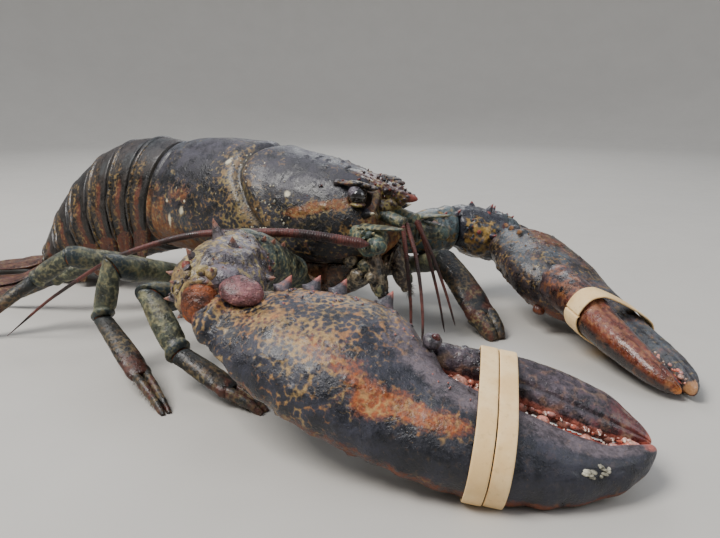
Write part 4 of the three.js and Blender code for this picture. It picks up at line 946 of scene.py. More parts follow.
def walking_leg(name, places):
    """One leg: upper length, middle length and foot, with the joints' membranes as balls between them. The
    first two pairs end in pincers; the raised left front foot is broad and hairy."""
    hip, knee, wrist, foot = np.array(places, float)
    pincers, raised = name[1] in "12", name == "L1"
    scale = {"1": 1.15, "4": 0.88}.get(name[1], 1.0)
    upper, middle, lower = unit(knee - hip), unit(wrist - knee), unit(foot - wrist)
    knee_cut, wrist_cut = unit(upper + middle), unit(middle + lower)
    upper_at = [0, 0.12, 0.3, 0.8, 1]
    girth = size(upper_at, [7.6, 8.4, 7.4, 9, 8.6], scale), size(upper_at, [6.84, 8, 7.6, 9.6, 8.6], scale)
    settings = {"bow": 3, "count": 74, "rim": 0.02, "flare": 0.09, "keel": 0.03}
    length = limb(hip, knee, upper, knee_cut, *girth, "leg", leg_tint, **settings)
    piece(f"dressed_leg_{name}_upper", [length, knob(knee, 6.8 * scale, "membrane", warm=0.5)])
    girth = size([0, 0.5, 1], [6.8, 8, 7.6], scale), size([0, 0.5, 1], [6.8, 8.4, 7.6], scale)
    length = limb(knee, wrist, knee_cut, wrist_cut, *girth, "leg", leg_tint, count=40, rim=0.06, flare=0.1)
    wrist_ball = knob(wrist, 5.8 * scale, "membrane", warm=0.5)
    piece(f"dressed_leg_{name}_middle", [length, wrist_ball])

    habits = (10.0, 2.0, 0.6, 1.5, 1.4) if raised else (1.5, 1.5, 0.55, 1.0, 1.0)
    bow, toe_bow, toe_spread, broad, fat = habits
    fore = 0.73 if raised else 0.62 if pincers else 0.66
    scale = scale * broad
    widths = [6.2, 7.4, 8.6, 7.6] if pincers else [6, 6.4, 5.4, 4.6]
    girth = size([0, 0.3, 0.8, 1], widths, scale), size([0, 0.3, 1], [6, 6, 4.6], scale)
    settings = {"bow": bow * 0.3, "count": 56, "rim": 0.04, "flare": 0.05, "keel": 0.04}
    shaft_end = wrist + (foot - wrist) * (fore + 0.02)
    surfaces = [limb(wrist, shaft_end, wrist_cut, lower, *girth, "foot", foot_tint, **settings)]
    side = unit(np.cross(lower, UP))
    top = np.cross(side, lower)
    root = wrist + (foot - wrist) * fore
    toe_at, toe_root = [0, 0.6, 1], 3.1 if pincers else 4
    girth = size(toe_at, [toe_root, 2.6, 1.7], scale * fat), size(toe_at, [3.8, 3.2, 2.0], scale * fat)
    settings = {"bow": toe_bow, "around": 30, "count": 44, "rim": 0.09, "flare": 0.02, "grain": 0.7}
    seed = ord(name[0]) * 10 + int(name[1])
    for shift in (-3.9, 3.9) if pincers else (0,):
        start = root + side * shift * scale - lower * 3
        end = foot + side * shift * toe_spread * scale
        surfaces.append(straight(start, end, *girth, "foot", toe_tint, **settings))
        for k in range(3):
            off = side * (k - 1) * 2.2 - top * 2.4
            hair_end = start * 0.25 + end * 0.75 + off * 0.6
            out = lower * 0.9 - top * 0.6 + side * (k - 1) * 0.7
            surfaces.append(fringe(start + off, hair_end, 26, out, 3.4, seed + k))
    for k in (-1, 1) if raised else ():
        edge, out = side * k * 12, side * k - lower * 0.2
        surfaces.append(fringe(wrist + edge + lower * 8, root + edge, 110, out, 2.6, seed + 9 + k, 0.5, 0.3))
    piece(f"dressed_leg_{name}_foot", surfaces)


for leg_name, leg_places in WALKING.items():
    walking_leg(leg_name, leg_places)

# Claws, drawn flat: x runs from the wrist to the tip, y towards the movable finger, z through the palm

# Edge, thickness and lift profiles as (shares, values), with the finger's values at finger_at; the teeth as
# count, first and last share, and first and last radius
CRUSHER = {
    "side": "R", "length": 270, "tip": [478, -107, 19.5], "roll": 28, "underside": 0.68, "hinge": 0.535,
    "look": "crusher", "finger_look": "finger", "boss_look": "boss",
    "outer": ([0, 0.06, 0.2, 0.4, 0.62, 0.8, 0.92, 0.98, 1], [-17, -27, -47, -60, -64, -55, -37, -20, -8]),
    "inner": (
        [0, 0.07, 0.2, 0.36, 0.45, 0.53, 0.57, 0.7, 0.88, 0.95, 1],
        [12, 16, 29, 34.5, 28.5, 13, -2, -9, -12, -5, 2],
    ),
    "thick": (
        [0, 0.1, 0.22, 0.38, 0.52, 0.62, 0.75, 0.9, 0.97, 1],
        [8, 11.5, 24, 29.5, 25, 26, 22, 14, 9, 4],
    ),
    "lift": ([0, 1], [0, 0]), "finger_at": [0.5, 0.53, 0.6, 0.75, 0.88, 0.95, 0.99],
    "finger_outer": [15, 19, 23.5, 29.5, 25, 14.5, 5], "finger_inner": [4, 2, 1, -2, -5, -2.5, 0],
    "finger_thick": [9, 13, 14.5, 13, 10, 6, 3], "finger_lift": [0, 0, 0, 0, 0, 0, 0],
    "teeth": (9, 0.6, 0.95, 4.8, 2.4), "teeth_high": (0.1, 0.34), "teeth_scale": 1, "gutter": -0.25,
    "spines": [0.16, 0.225, 0.285, 0.395], "across": 0.9, "high": 0.42, "height": 9,
    "boss": ([24.0, 6.0, 15.0], [14, 11, 6.5]), "wrist_rim": 1, "pale_bite": 0.75, "seed": 31,
}
CUTTER = {
    "side": "L", "length": 275, "tip": [480.5, 6, 9.5], "roll": 16, "underside": 0.87, "hinge": 0.46,
    "look": "cutter", "finger_look": "finger_left", "boss_look": "cutter",
    "outer": ([0, 0.06, 0.2, 0.4, 0.6, 0.8, 0.93, 1], [-16, -24, -37, -43, -40, -31, -19, -5]),
    "inner": (
        [0, 0.07, 0.2, 0.34, 0.41, 0.46, 0.5, 0.55, 0.7, 0.9, 1],
        [16, 29, 40, 44, 41, 35, 20, 4, -1, -3, 0],
    ),
    "thick": ([0, 0.08, 0.22, 0.36, 0.55, 0.75, 0.92, 1], [14, 21, 29, 29, 20, 15, 10.5, 4.5]),
    "lift": ([0, 0.25, 0.6, 0.8, 1], [0, -1.5, -6.5, -4, -0.5]),
    "finger_at": [0.43, 0.46, 0.55, 0.72, 0.87, 0.95, 0.985],
    "finger_outer": [30, 36, 37, 33, 25, 17, 8], "finger_inner": [16, 9, 6, 4, 3, 3, 3],
    "finger_thick": [11, 17, 18, 15, 11, 7, 3], "finger_lift": [3, 4, 4.5, 0, -3, -4, -4.5],
    "teeth": (9, 0.58, 0.94, 3.3, 2), "teeth_high": (0.22, 0.5), "teeth_scale": 0.8, "gutter": -0.9,
    "spines": [0.07, 0.13, 0.2], "across": 0.6, "high": 0.75, "height": 6,
    "boss": ([16.0, 2.0, 12.0], [9, 9, 6]), "wrist_rim": 0.6, "pale_bite": 0.25, "seed": 32,
}


class ClawAxes:
    """A claw's own axes in the body frame: along it, towards the movable finger, and up out of the palm."""

    def __init__(self, claw):
        self.wrist = np.array(ARMS[claw["side"]][3], float)
        self.along = unit(np.array(claw["tip"], float) - self.wrist)
        level = unit(np.cross(UP, self.along)) * (1 if claw["side"] == "R" else -1)
        top = unit(np.cross(self.along, level))
        top = top * np.sign(top[2])
        roll = math.radians(claw["roll"])
        self.inward = level * math.cos(roll) + top * math.sin(roll)
        self.upward = top * math.cos(roll) - level * math.sin(roll)

    def place(self, x, y, z):
        """The point x along, y inward and z up from the wrist."""
        return self.wrist + self.turn(x, y, z)

    def turn(self, x, y, z):
        """The direction x along + y inward + z up."""
        parts = np.broadcast_arrays(x, y, z)
        return sum(p[..., None] * axis for p, axis in zip(parts, (self.along, self.inward, self.upward)))

    def triad(self):
        return [self.along, self.inward, self.upward]


def blade(axes, claw, form, share, spread, around):
    """A flattened form: y = middle + half cos a between two edge profiles, z = lift + thickness |sin
    a|^0.9, less below."""
    outer, inner, thick, lift = form
    angle = turns(around)
    middle = (outer(share) + inner(share)) / 2
    half = (inner(share) - outer(share)) / 2
    side = np.where(np.sin(angle) > 0, 1, -claw["underside"])
    swell = side * np.abs(np.sin(angle)) ** 0.9
    x = share * claw["length"] + GAP / 2 + 0 * angle
    y, z = middle + half * np.cos(angle) * spread, thick(share) * swell * spread + lift(share)
    return axes.place(x, y, z), angle


def palm_masks(crusher, share, angle, grid):
    """Warm, fleck, cool and dark masks of the palm. Crusher: a tan net on the upper inner part that gives
    way to plain mauve by the fingers, an orange patch between them, a maroon strip at the outer edge, painted
    shade underneath and a painted shadow on the outer upper face towards the fingers. Cutter: grey-mauve
    above, rust-orange towards the outer edge and below, with painted shade on its lower outer side and in a
    painted hollow near the hinge."""
    face, rise = np.cos(angle), np.sin(angle)
    tone, small = rough(grid, 36.0, 9.0), rough(grid, 13.0, 4.0)
    over, below = smooth(-0.05, 0.35, rise), smooth(-0.1, -0.8, rise)
    if crusher:
        strip = smooth(0.22, -0.02, rise) * smooth(-0.5, -0.8, face) * smooth(0.08, 0.2, share)
        ends = smooth(0.35, 0.43, share + 0.05 * small) * smooth(0.72, 0.58, share)
        patch = bell(face, -0.7 + 1.8 * (share - 0.38), 0.2) * ends * over
        tan = bell(face, -0.1 - 0.9 * (share - 0.15), 0.33) * smooth(0.5, 0.36, share) * over
        pale = smooth(0.15, 0.7, face + 0.25 * small) * over * smooth(0.02, 0.12, share)
        plain = smooth(0.36, 0.52, share + 0.1 * smooth(0.2, -0.5, face)) * (1 - patch)
        mauve = over * smooth(0.34, 0.5, share) * smooth(-0.2, 0.3, face) * (1 - patch)
        shadow = smooth(-0.1, -0.5, face) * over * smooth(0.35, 0.5, share) * (1 - patch) * (1 - strip)
        net = 0.55 * pale * smooth(0.6, 0.42, share) + 0.75 * tan + 0.45 * patch + 0.3 * strip
        return {
            "warm": 0.95 * patch + 0.5 * strip + 0.35 * below + 0.45 * tan,
            "fleck": (net + 0.2 + 0.3 * tone) * (1 - 0.9 * plain),
            "cool": 0.25 * pale * smooth(-0.3, 0.4, tone) * smooth(0.15, 0.3, share) + 0.8 * mauve,
            # The below term is painted shade underneath, the shadow term a painted shadow; the strip is the
            # shell's own maroon.
            "dark": 0.38 * strip + 0.5 * below + 0.3 * shadow,
        }
    brown = bell(share, 0.24, 0.1) * bell(face, 0.15, 0.35) * over
    low_side = smooth(0.75, 0.1, rise) * smooth(-0.05, -0.6, face)
    warm = 0.8 * low_side * smooth(0.6, 0.4, share) + 0.85 * brown + 0.6 * below
    hollow = bell(share, 0.4, 0.07) * smooth(0.4, -0.2, small) * bell(face, -0.35, 0.35)
    return {
        "warm": warm + 0.35 * smooth(-0.2, 0.3, small) * over,
        "fleck": 0.3 + 0.3 * tone + 0.3 * low_side - 0.25 * smooth(0.5, 0.7, share),
        "cool": 0.6 * smooth(0.1, -0.4, tone) * over + 0.5 * smooth(0.5, 0.7, share) * over,
        # Painted shade on the lower outer side, and in a painted hollow that the shape does not have.
        "dark": 0.7 * smooth(0.25, -0.5, rise) * smooth(0.3, -0.4, face + 0.3 * small) + 0.5 * hollow,
    }


def finger_masks(crusher, share, angle, grid, groove):
    """Crusher: mauve with a pale inner edge and a maroon end. Cutter: rust near the palm's side and below,
    cool on top, and painted shade underneath. Both have painted shade in their grooves, and a pale tip."""
    tone, face, rise = rough(grid, 24.0, 2.0), np.cos(angle), np.sin(angle)
    if crusher:
        end = smooth(0.82, 0.97, share)
        return {
            "warm": 0.35 * smooth(0.2, 0.6, tone) + 0.9 * end + 0.3 * smooth(0.2, -0.6, rise),
            "tip": 0.8 * smooth(0.965, 0.99, share) + 0.6 * smooth(0.8, 0.95, face),
            "cool": 0.6 * smooth(-0.5, 0.3, tone) * (1 - end),
            "fleck": 0.25 + 0.25 * tone,
            # Painted shade in the grooves.
            "dark": 0.35 * (groove < -0.45),
        }
    near = smooth(0.35, -0.25, face + 0.15 * tone) * smooth(-0.2, 0.2, rise)
    edge = smooth(0.3, -0.05, rise)
    top = smooth(-0.25, 0.3, face + 0.15 * tone) * smooth(0.1, 0.5, rise)
    return {
        "warm": (0.25 + 0.6 * smooth(0.5, 0.75, share)) * near + 0.3 * edge,
        "cool": 0.95 * top + 0.6 * smooth(0.56, 0.5, share),
        "fleck": 0.35 * near + 0.2,
        # Painted shade in the grooves and on the lower edge.
        "dark": 0.3 * (groove < -0.45) + 0.5 * edge,
        "tip": 0.75 * smooth(0.962, 0.985, share),
    }


def palm_surface(axes, claw, form):
    """The palm and its fixed finger: a blade with a crest and a dip at the hinge, a gutter along the
    finger's flanks, a scalloped outer edge, warts and a collar at the wrist."""
    hinge, crusher = claw["hinge"], claw["side"] == "R"
    share, spread = rows(0, 1, 230, (0.02, 0.016), (0.2, 0.8))
    grid, angle = blade(axes, claw, form, share, spread, 200)
    face, degrees = np.cos(angle), np.degrees(angle)
    crest = 1.3 * np.maximum(0, face) ** 10 * smooth(hinge - 0.02, hinge - 0.12, share)
    dip = -2.2 * bell(share, hinge - 0.035, 0.03) * np.maximum(0, face) ** 2
    flanks = bell(degrees, 62, 7) + bell(degrees, 118, 8)
    gutter = claw["gutter"] * smooth(hinge + 0.02, hinge + 0.12, share) * flanks
    bulk = 1.2 * rough(grid, 34.0) + 0.45 * rough(grid, 9.0, 3.0)
    scallop = 0.6 * np.maximum(0, -face) ** 8 * np.sin(share * 95)
    wart = np.maximum(rough(grid, 6.5, 8.0) - 0.3, 0) * 4.5 * smooth(hinge + 0.1, hinge - 0.1, share)
    fade = smooth(0, 0.03, share) * smooth(1, 0.97, share)
    collar = 2.4 * bell(share, 0.045, 0.013) - 1.1 * bell(share, 0.075, 0.014)
    grid = pushed(grid, (crest + dip + gutter + bulk + scallop + wart + collar) * fade)
    masks = palm_masks(crusher, share, angle, grid)
    seam = bell(share, hinge - 0.01, 0.012) * np.maximum(0, face)
    # Painted shade in the gutter; the seam by the hinge is a dark joint line.
    masks["dark"] = masks["dark"] + 0.5 * seam + 0.3 * (gutter < -0.5)
    masks["warm"] = masks["warm"] + 0.5 * smooth(0.035, 0.0, share) * claw["wrist_rim"]
    bite = smooth(0.72, 0.93, face) * smooth(hinge + 0.04, hinge + 0.1, share)
    point = smooth(0.955, 0.985, share) * smooth(0.1, 0.75, face + 0.3 * np.sin(angle))
    return closed(grid, claw["look"], tip=claw["pale_bite"] * bite + 0.9 * point, **masks)


def finger_surface(axes, claw, form):
    """The movable finger: a blade with three grooves, a shoulder over the hinge and warts."""
    hinge = claw["hinge"]
    share, spread = rows(claw["finger_at"][0], claw["finger_at"][-1], 150, (0.012, 0.02), (0.25, 0.8))
    grid, angle = blade(axes, claw, form, share, spread, 120)
    degrees = np.degrees(angle)
    grooves = bell(degrees, 58, 6) + bell(degrees, 112, 7) + bell(degrees, 300, 8)
    groove = -0.8 * grooves * smooth(hinge + 0.05, hinge + 0.12, share)
    shoulder = 1.6 * bell(share, hinge + 0.01, 0.018) * np.maximum(0, np.sin(angle))
    wart = np.maximum(rough(grid, 6.0, 8.0) - 0.3, 0) * 4.0 * smooth(hinge + 0.2, hinge, share)
    grid = pushed(grid, groove + shoulder + wart + 0.5 * rough(grid, 16.0) + 0.25 * rough(grid, 5.0))
    masks = finger_masks(claw["side"] == "R", share, angle, grid, groove)
    return closed(grid, claw["finger_look"], **masks)


def big_teeth(axes, claw, palm_form, finger_form):
    """The large teeth along both inner edges, in turn on the palm and the finger, each with two beads
    beside it."""
    count, first, last, radius, end = claw["teeth"]
    sets, length, triad = ([], []), claw["length"], axes.triad()
    for i in range(count):
        on_finger = i % 2 == 1
        _, inner, thick, lift = finger_form if on_finger else palm_form
        at = first + (last - first) * i / (count - 1)
        r = radius + (end - radius) * i / (count - 1)
        y = inner(at) + r * (0.25 if on_finger else -0.1)
        z = lift(at) + (0 if on_finger else 0.3 * thick(at))
        radii = [r * 1.15, r, r * 0.95]
        sets[on_finger].append(
            knob(axes.place(at * length, y, z), radii, "tooth", triad, 20, 0.35, warm=0.4, cool=0.3)
        )
        for extra, shift in ((0.45, 0.021), (0.35, -0.019)):
            x = at + shift
            y = inner(x) + (0.6 if on_finger else -0.4)
            place = axes.place(x * length, y, lift(x) + (i % 3 - 1) * 1.2)
            sets[on_finger].append(knob(place, r * extra, "tooth", triad, 12, warm=0.5))
    return sets


def build_claw(claw):
    """The palm with its fixed finger, and the movable finger, with their teeth, the strip of flesh between
    them, spines, warts, the boss at the wrist and the balls of the hinge."""
    axes = ClawAxes(claw)
    crusher, look, hinge, length = claw["side"] == "R", claw["look"], claw["hinge"], claw["length"]
    palm_form = [profile(*claw[key]) for key in ("outer", "inner", "thick", "lift")]
    outer, inner, thick, lift = palm_form
    finger_at = claw["finger_at"]
    finger_form = [profile(finger_at, claw["finger_" + key]) for key in ("outer", "inner", "thick", "lift")]
    finger_outer, finger_inner, _, finger_lift = finger_form
    triad = axes.triad()
    palm_teeth, finger_teeth = big_teeth(axes, claw, palm_form, finger_form)
    palm = [palm_surface(axes, claw, palm_form)] + palm_teeth
    palm += tooth_row(axes, claw, palm_form, 1, 62)
    finger = [finger_surface(axes, claw, finger_form)] + finger_teeth
    finger += tooth_row(axes, claw, finger_form, -1, 61)
    gum_at = np.linspace(hinge + 0.04, 0.96, 9)
    gum_line = [axes.place(at * length, inner(at) + 1.6, lift(at)) for at in gum_at]
    gum_size = profile([0, 0.2, 0.7, 1], [2, 3.4, 3.0, 1.2])
    palm.append(whip(route(np.linspace(0, 1, 9), gum_line), gum_size, 160, "gum", 3.1, 16, 0.25))
    for at in claw["spines"]:
        root = axes.place(at * length, inner(at) * claw["across"], thick(at) * claw["high"] + lift(at))
        palm.append(spike(root, axes.turn(0.25, 0.75, 0.6), 5.5, claw["height"] + 1, look, 0.1, 16, 0.5))
    boss_place, boss_size = claw["boss"]
    boss = knob(axes.place(*boss_place), boss_size, claw["boss_look"], triad, 44, 1.2, cool=0.4, fleck=0.2)
    palm.append(boss)

    def on_blade(at, turn, tuck):
        """A place on the palm's upper side, drawn in across it by tuck."""
        y = (inner(at) + outer(at)) / 2 + (inner(at) - outer(at)) / 2 * math.cos(turn)
        return axes.place(at * length, y * tuck, thick(at) * math.sin(turn) ** 0.9 * (tuck - 0.02) + lift(at))

    draw = np.random.default_rng(claw["seed"])
    for _ in range(46):
        at, turn = draw.uniform(0.06, hinge + 0.1), math.radians(draw.uniform(12, 75))
        aim = axes.turn(0.3, math.cos(turn), math.sin(turn))
        radius, height = draw.uniform(1.0, 2.0), draw.uniform(1.0, 2.2)
        palm.append(spike(on_blade(at, turn, 0.99), aim, radius, height, look, 0.05, 8, 0.7))
    for _ in range(14 if crusher else 0):
        at, turn = draw.normal(0.885, 0.012), math.radians(draw.normal(112, 7))
        y = (inner(at) + outer(at)) / 2 + (inner(at) - outer(at)) / 2 * math.cos(turn)
        spot = axes.place(at * length, y, thick(at) * math.sin(turn) ** 0.9)
        radii = [draw.uniform(0.8, 2.6), draw.uniform(0.7, 1.6), 0.6]
        palm.append(knob(spot, radii, "barnacle", triad, 10, 0.15))
    centre = axes.place((hinge - 0.012) * length, inner(hinge) * 0.7, thick(hinge) * 0.82 + lift(hinge))
    lower_z = -thick(hinge) * claw["underside"] * 0.8 + lift(hinge)
    lower = axes.place((hinge - 0.008) * length, inner(hinge) * 0.7, lower_z)
    stud = centre + axes.turn(1.5, 0.5, 3.0)
    palm.append(knob(centre, [5.5, 5.5, 4.5], look, triad, 26, 0.5, cool=0.6, dark=0.1))
    palm.append(knob(stud, [2.8, 2.6, 3.0], "finger", triad, 16, 0.3, warm=0.9))
    palm.append(knob(lower, [5.5, 5.5, 4.5], look, triad, 22, 0.5, warm=0.6, tip=0.1))
    ball_y = (finger_inner(hinge + 0.02) + finger_outer(hinge + 0.02)) / 2
    ball = axes.place((hinge + 0.01) * length, ball_y, finger_lift(hinge))
    finger.append(knob(ball, [6, 8, 9], "membrane", triad, 24, 0.4, warm=0.6))
    piece(f"dressed_claw_{claw['side']}_palm", palm)
    piece(f"dressed_claw_{claw['side']}_finger", finger)
    return axes, np.concatenate([palm[0].points, finger[0].points])


def tooth_row(axes, claw, form, aim_in, seed):
    """Small uneven teeth along an inner edge: lumps of drawn sizes 1.5 to 4 mm apart, at drawn heights on
    the blade's ellipse (y = middle + half cos a at sin a = height^1.1); about a third are cones that lean
    over the gap."""
    outer, inner, thick, lift = form
    length, at, end = claw["length"], claw["teeth"][1] - 0.02, claw["teeth"][2] + 0.02
    draw = np.random.default_rng(seed)
    teeth = []
    while at < end:
        r = draw.uniform(0.9, 2.1) * claw["teeth_scale"]
        high = draw.uniform(*claw["teeth_high"])
        lean = math.sqrt(1 - high ** 2.2)
        y = (outer(at) + inner(at)) / 2 + (inner(at) - outer(at)) / 2 * lean - aim_in * 0.4
        root = axes.place(at * length, y, lift(at) + thick(at) * high)
        if draw.uniform() < 0.35:
            teeth.append(spike(root, axes.turn(0.1, aim_in * 0.8, 0.4), r, r * 1.6, "tooth", 0, 8, 0.3))
        else:
            tone = draw.uniform(0, 0.9)
            radii = [r * draw.uniform(1, 1.5), r, r * 0.8]
            teeth.append(knob(root, radii, "tooth", axes.triad(), 12, 0.25, warm=tone, cool=0.7 * (1 - tone)))
        at += draw.uniform(1.5, 4.0) / length
    return teeth


crusher_axes, crusher_grip = build_claw(CRUSHER)
cutter_axes, cutter_grip = build_claw(CUTTER)

# Claw arms


def collar_shade(t, rise, strength=0.3, low=0.0):
    """A dark collar near the far end, and painted shade that darkens the underside."""
    return 0.35 * bell(t, 0.86, 0.02) + strength * smooth(low, -0.6, rise)


def plain_arm_tint(t, angle, grid):
    """Even mottle with rust and cool patches, and painted shade underneath."""
    blotch = rough(grid, 16.0, 6.0)
    warm, cool = 0.4 * smooth(0.1, 0.5, -blotch), 0.5 * smooth(0.2, 0.5, blotch)
    return {"fleck": 0.5 + 0.3 * blotch, "warm": warm, "cool": cool, "dark": collar_shade(t, np.sin(angle))}


def left_upper_tint(t, angle, grid):
    """Blue-green with rust patches, and painted shade underneath."""
    blotch = rough(grid, 16.0, 6.0)
    dark = collar_shade(t, np.sin(angle), 0.35)
    return {"fleck": 0.35 + 0.3 * blotch, "cool": 0.8, "dark": dark, "warm": 0.3 * smooth(0.2, 0.6, blotch)}


def right_wrist_tint(t, angle, grid):
    """Grey-lilac with a cream net on the outer face, worn brown patches, a rust far end, and painted shade
    underneath.
    """
    blotch, rise = rough(grid, 16.0, 6.0), np.sin(angle)
    net = smooth(-0.2, 0.5, np.cos(angle) + 0.35 * blotch)
    worn = smooth(0.15, 0.5, rough(grid, 9.0, 2.0))
    return {
        "fleck": 0.85 * net + 0.4,
        "warm": 0.4 * net * (rise < 0.3) + 0.5 * smooth(0.9, 0.97, t) + 0.3 * worn,
        "cool": 0.6 * (1 - net),
        # The last term is painted shade on the underside.
        "dark": 0.35 * bell(t, 0.86, 0.02) + 0.55 * worn * (1 - 0.4 * net) + 0.3 * smooth(0.0, -0.5, rise),
    }


def left_wrist_tint(t, angle, grid):
    """Slate on top, a tan net with dark spots on the face, rust at its far end, and painted shade below."""
    blotch, rise = rough(grid, 16.0, 6.0), np.sin(angle)
    front = smooth(-0.1, 0.3, np.cos(angle)) * smooth(0.8, 0.5, rise)
    return {
        "fleck": 0.98 * front * smooth(0.62, 0.5, t) * smooth(0.05, 0.15, t),
        "cool": 0.25 + 0.3 * blotch,
        "warm": 0.9 * smooth(0.6, 0.72, t + 0.05 * blotch) * front,
        "dark": collar_shade(t, rise, 0.3, -0.2) + 0.35 * smooth(0.5, 0.9, rise),
    }


# Thorns of the wrist: place and direction as along, up and ahead, then radius and height
WRIST_THORNS = (
    ((0.5, 23, 8), (0.3, 1, 0.2), 4.2, 9), ((0.7, 20, -12), (0.5, 1, -0.4), 4.2, 10),
    ((0.62, 6, -26), (0.4, 0.3, -1), 4.2, 10), ((0.85, -2, -22), (0.6, 0, -1), 3.8, 9),
    ((0.5, 2, 27), (0.3, 0.2, 1), 4.2, 10),
)


def claw_arm(side):
    """A short first length, the upper arm, and the spiny wrist piece with a rim of lumps that carries the
    palm."""
    hip, mid, elbow, wrist = np.array(ARMS[side], float)
    right, s = side == "R", SIDES[side]
    first, second, third = unit(mid - hip), unit(elbow - mid), unit(wrist - elbow)
    mid_cut, elbow_cut = unit(first + second), unit(second + third)
    look = "wrist" if right else "wrist_left"
    girth = size([0, 0.5, 1], [13, 12.5, 14]), size([0, 0.5, 1], [12, 11.5, 13])
    length = limb(hip, mid, first, mid_cut, *girth, "head", plain_arm_tint, around=56, count=40)
    piece(f"dressed_arm_{side}_first", [length, knob(mid, 11, "membrane", warm=0.5)])

    girth = size([0, 0.25, 0.8, 1], [13.5, 16, 22, 20]), size([0, 0.25, 0.8, 1], [13, 16, 23, 21])
    skin = ("head", plain_arm_tint) if right else ("wrist_left", left_upper_tint)
    settings = {"around": 90, "count": 90, "rim": 0.03, "flare": 0.05, "grain": 0.8, "keel": 0.04}
    length = limb(mid, elbow, mid_cut, elbow_cut, *girth, *skin, **settings)
    upper = [length, knob(elbow, 16.5, "membrane", warm=0.6)]
    for t in (0.45, 0.66, 0.85):
        root = mid + (elbow - mid) * t + np.array([11 if right else 14, 0, 14])
        upper.append(spike(root, [0.8, s * 0.3, 0.7], 4.2, 10, look, 0.15, 14))
    piece(f"dressed_arm_{side}_upper", upper)

    top = unit(np.cross(np.cross(third, UP), third))
    fore = unit(np.cross(third, top)) * s

    def at(t, up, ahead):
        """The point at share t of the wrist piece, up and ahead of its middle."""
        return elbow + (wrist - elbow) * t + top * up + fore * ahead

    def turn(along, up, ahead):
        """A direction by its parts along, up and ahead."""
        return third * along + top * up + fore * ahead

    girth = size([0, 0.3, 0.7, 1], [19, 28, 30, 17]), size([0, 0.3, 0.7, 1], [19, 25, 26, 17])
    tint = right_wrist_tint if right else left_wrist_tint
    settings = {"around": 120, "count": 100, "rim": 0.05, "flare": 0.02, "grain": 1.9, "lump": 4.0}
    carpus = [
        limb(elbow, wrist, elbow_cut, third, *girth, look, tint, **settings),
        knob(at(0.86, 13, 10), [13, 10, 9], look, None, 40, 1.2, warm=0.2, cool=0.6),
        knob(wrist, [13.5, 13.5, 14.5], "membrane", [top, fore, third], 54, 0.8, 0.9, warm=0.3),
    ]
    first_thorn = ((0.3, 22, -6), (-0.1, 1, -0.3), 5.4, 15 if right else 7)
    for place, aim, radius, height in (first_thorn, *WRIST_THORNS):
        carpus.append(spike(at(*place), turn(*aim), radius, height, look, 0.1, 14))
    for t, a, r in ((0.48, 1.1, 3.0), (0.3, 0.15, 2.8), (0.8, 2.2, 2.8)):
        spot = at(t, 23.5 * math.sin(a), 25.5 * math.cos(a))
        carpus.append(knob(spot, [r * 1.2, r, r], "boss", None, 20, 0.5, warm=1.0))
    draw = np.random.default_rng(51 if right else 52)
    for k in range(15):
        a = 2 * math.pi * (k + draw.uniform(-0.2, 0.2)) / 15
        r = draw.uniform(2.4, 4.2)
        spot = at(draw.uniform(0.88, 0.95), 19.5 * math.sin(a), 19.5 * math.cos(a))
        carpus.append(knob(spot, [r, r * 1.1, r], look, None, 18, 0.9, fleck=1.0, warm=0.35))
        if k % 3 == 0:
            carpus.append(spike(spot, turn(0.7, math.sin(a), math.cos(a)), 3.0, 6.5, look, 0.1, 12, 0.2))
    for _ in range(90):
        t, a = draw.uniform(0.1, 0.9), draw.uniform(-0.3, math.pi + 0.3)
        root, aim = at(t, 23 * math.sin(a), 25 * math.cos(a)), turn(0.3, math.sin(a), math.cos(a))
        radius, height = draw.uniform(1.0, 2.4), draw.uniform(1.2, 2.8)
        carpus.append(spike(root, aim, radius, height, look, 0.05, 8, 0.5))
    piece(f"dressed_arm_{side}_wrist", carpus)


for side_name in SIDES:
    claw_arm(side_name)

# Rubber bands


def band(name, axes, points, length, share, tilt, width):
    """A smooth loop round both fingers: for each direction the reach is the largest of p.d over the
    fingers' slice, each loop point is where two neighbouring tangent lines meet, and a rounded strap goes
    round it."""
    turn = math.radians(tilt)
    along = axes.along * math.cos(turn) + axes.inward * math.sin(turn)
    inward = axes.inward * math.cos(turn) - axes.along * math.sin(turn)
    centre = axes.place(share * length, 0, 0)
    flat = points - centre
    grip = flat[np.abs(flat @ along) < width / 2 + 0.5]
    y, z = grip @ inward, grip @ axes.upward
    y0, z0 = (y.max() + y.min()) / 2, (z.max() + z.min()) / 2
    a = np.linspace(0, 2 * math.pi, 160, endpoint=False)
    reach = ((y - y0)[:, None] * np.cos(a) + (z - z0)[:, None] * np.sin(a)).max(0) + 0.35
    for _ in range(6):
        reach = (np.roll(reach, 1) + 2 * reach + np.roll(reach, -1)) / 4
    b, far = np.roll(a, -1), np.roll(reach, -1)
    bottom = np.sin(b - a)
    loop_y = y0 + (reach * np.sin(b) - far * np.sin(a)) / bottom
    loop_z = z0 + (far * np.cos(a) - reach * np.cos(b)) / bottom
    c = np.linspace(0, 2 * math.pi, 36, endpoint=False)
    strap_x = width / 2 * np.sign(np.cos(c)) * np.abs(np.cos(c)) ** 0.3
    strap_r = 0.9 + 0.9 * np.sign(np.sin(c)) * np.abs(np.sin(c)) ** 0.5
    out_y, out_z = np.cos((a + b) / 2)[:, None], np.sin((a + b) / 2)[:, None]
    edge = 0.25 * noise(np.stack([a * 9, a * 0, a * 0], -1), 4.0)[:, None]
    x = strap_x[None] * (1 + 0.03 * edge)
    yy, zz = loop_y[:, None] + out_y * strap_r, loop_z[:, None] + out_z * strap_r
    grid = centre + x[..., None] * along + yy[..., None] * inward + zz[..., None] * axes.upward
    # Darker where the band comes within a few millimetres of the floor.
    low = smooth(9, 2, grid[..., 2])
    piece("dressed_" + name, [hoop(grid, "band", dark=0.5 * low)])


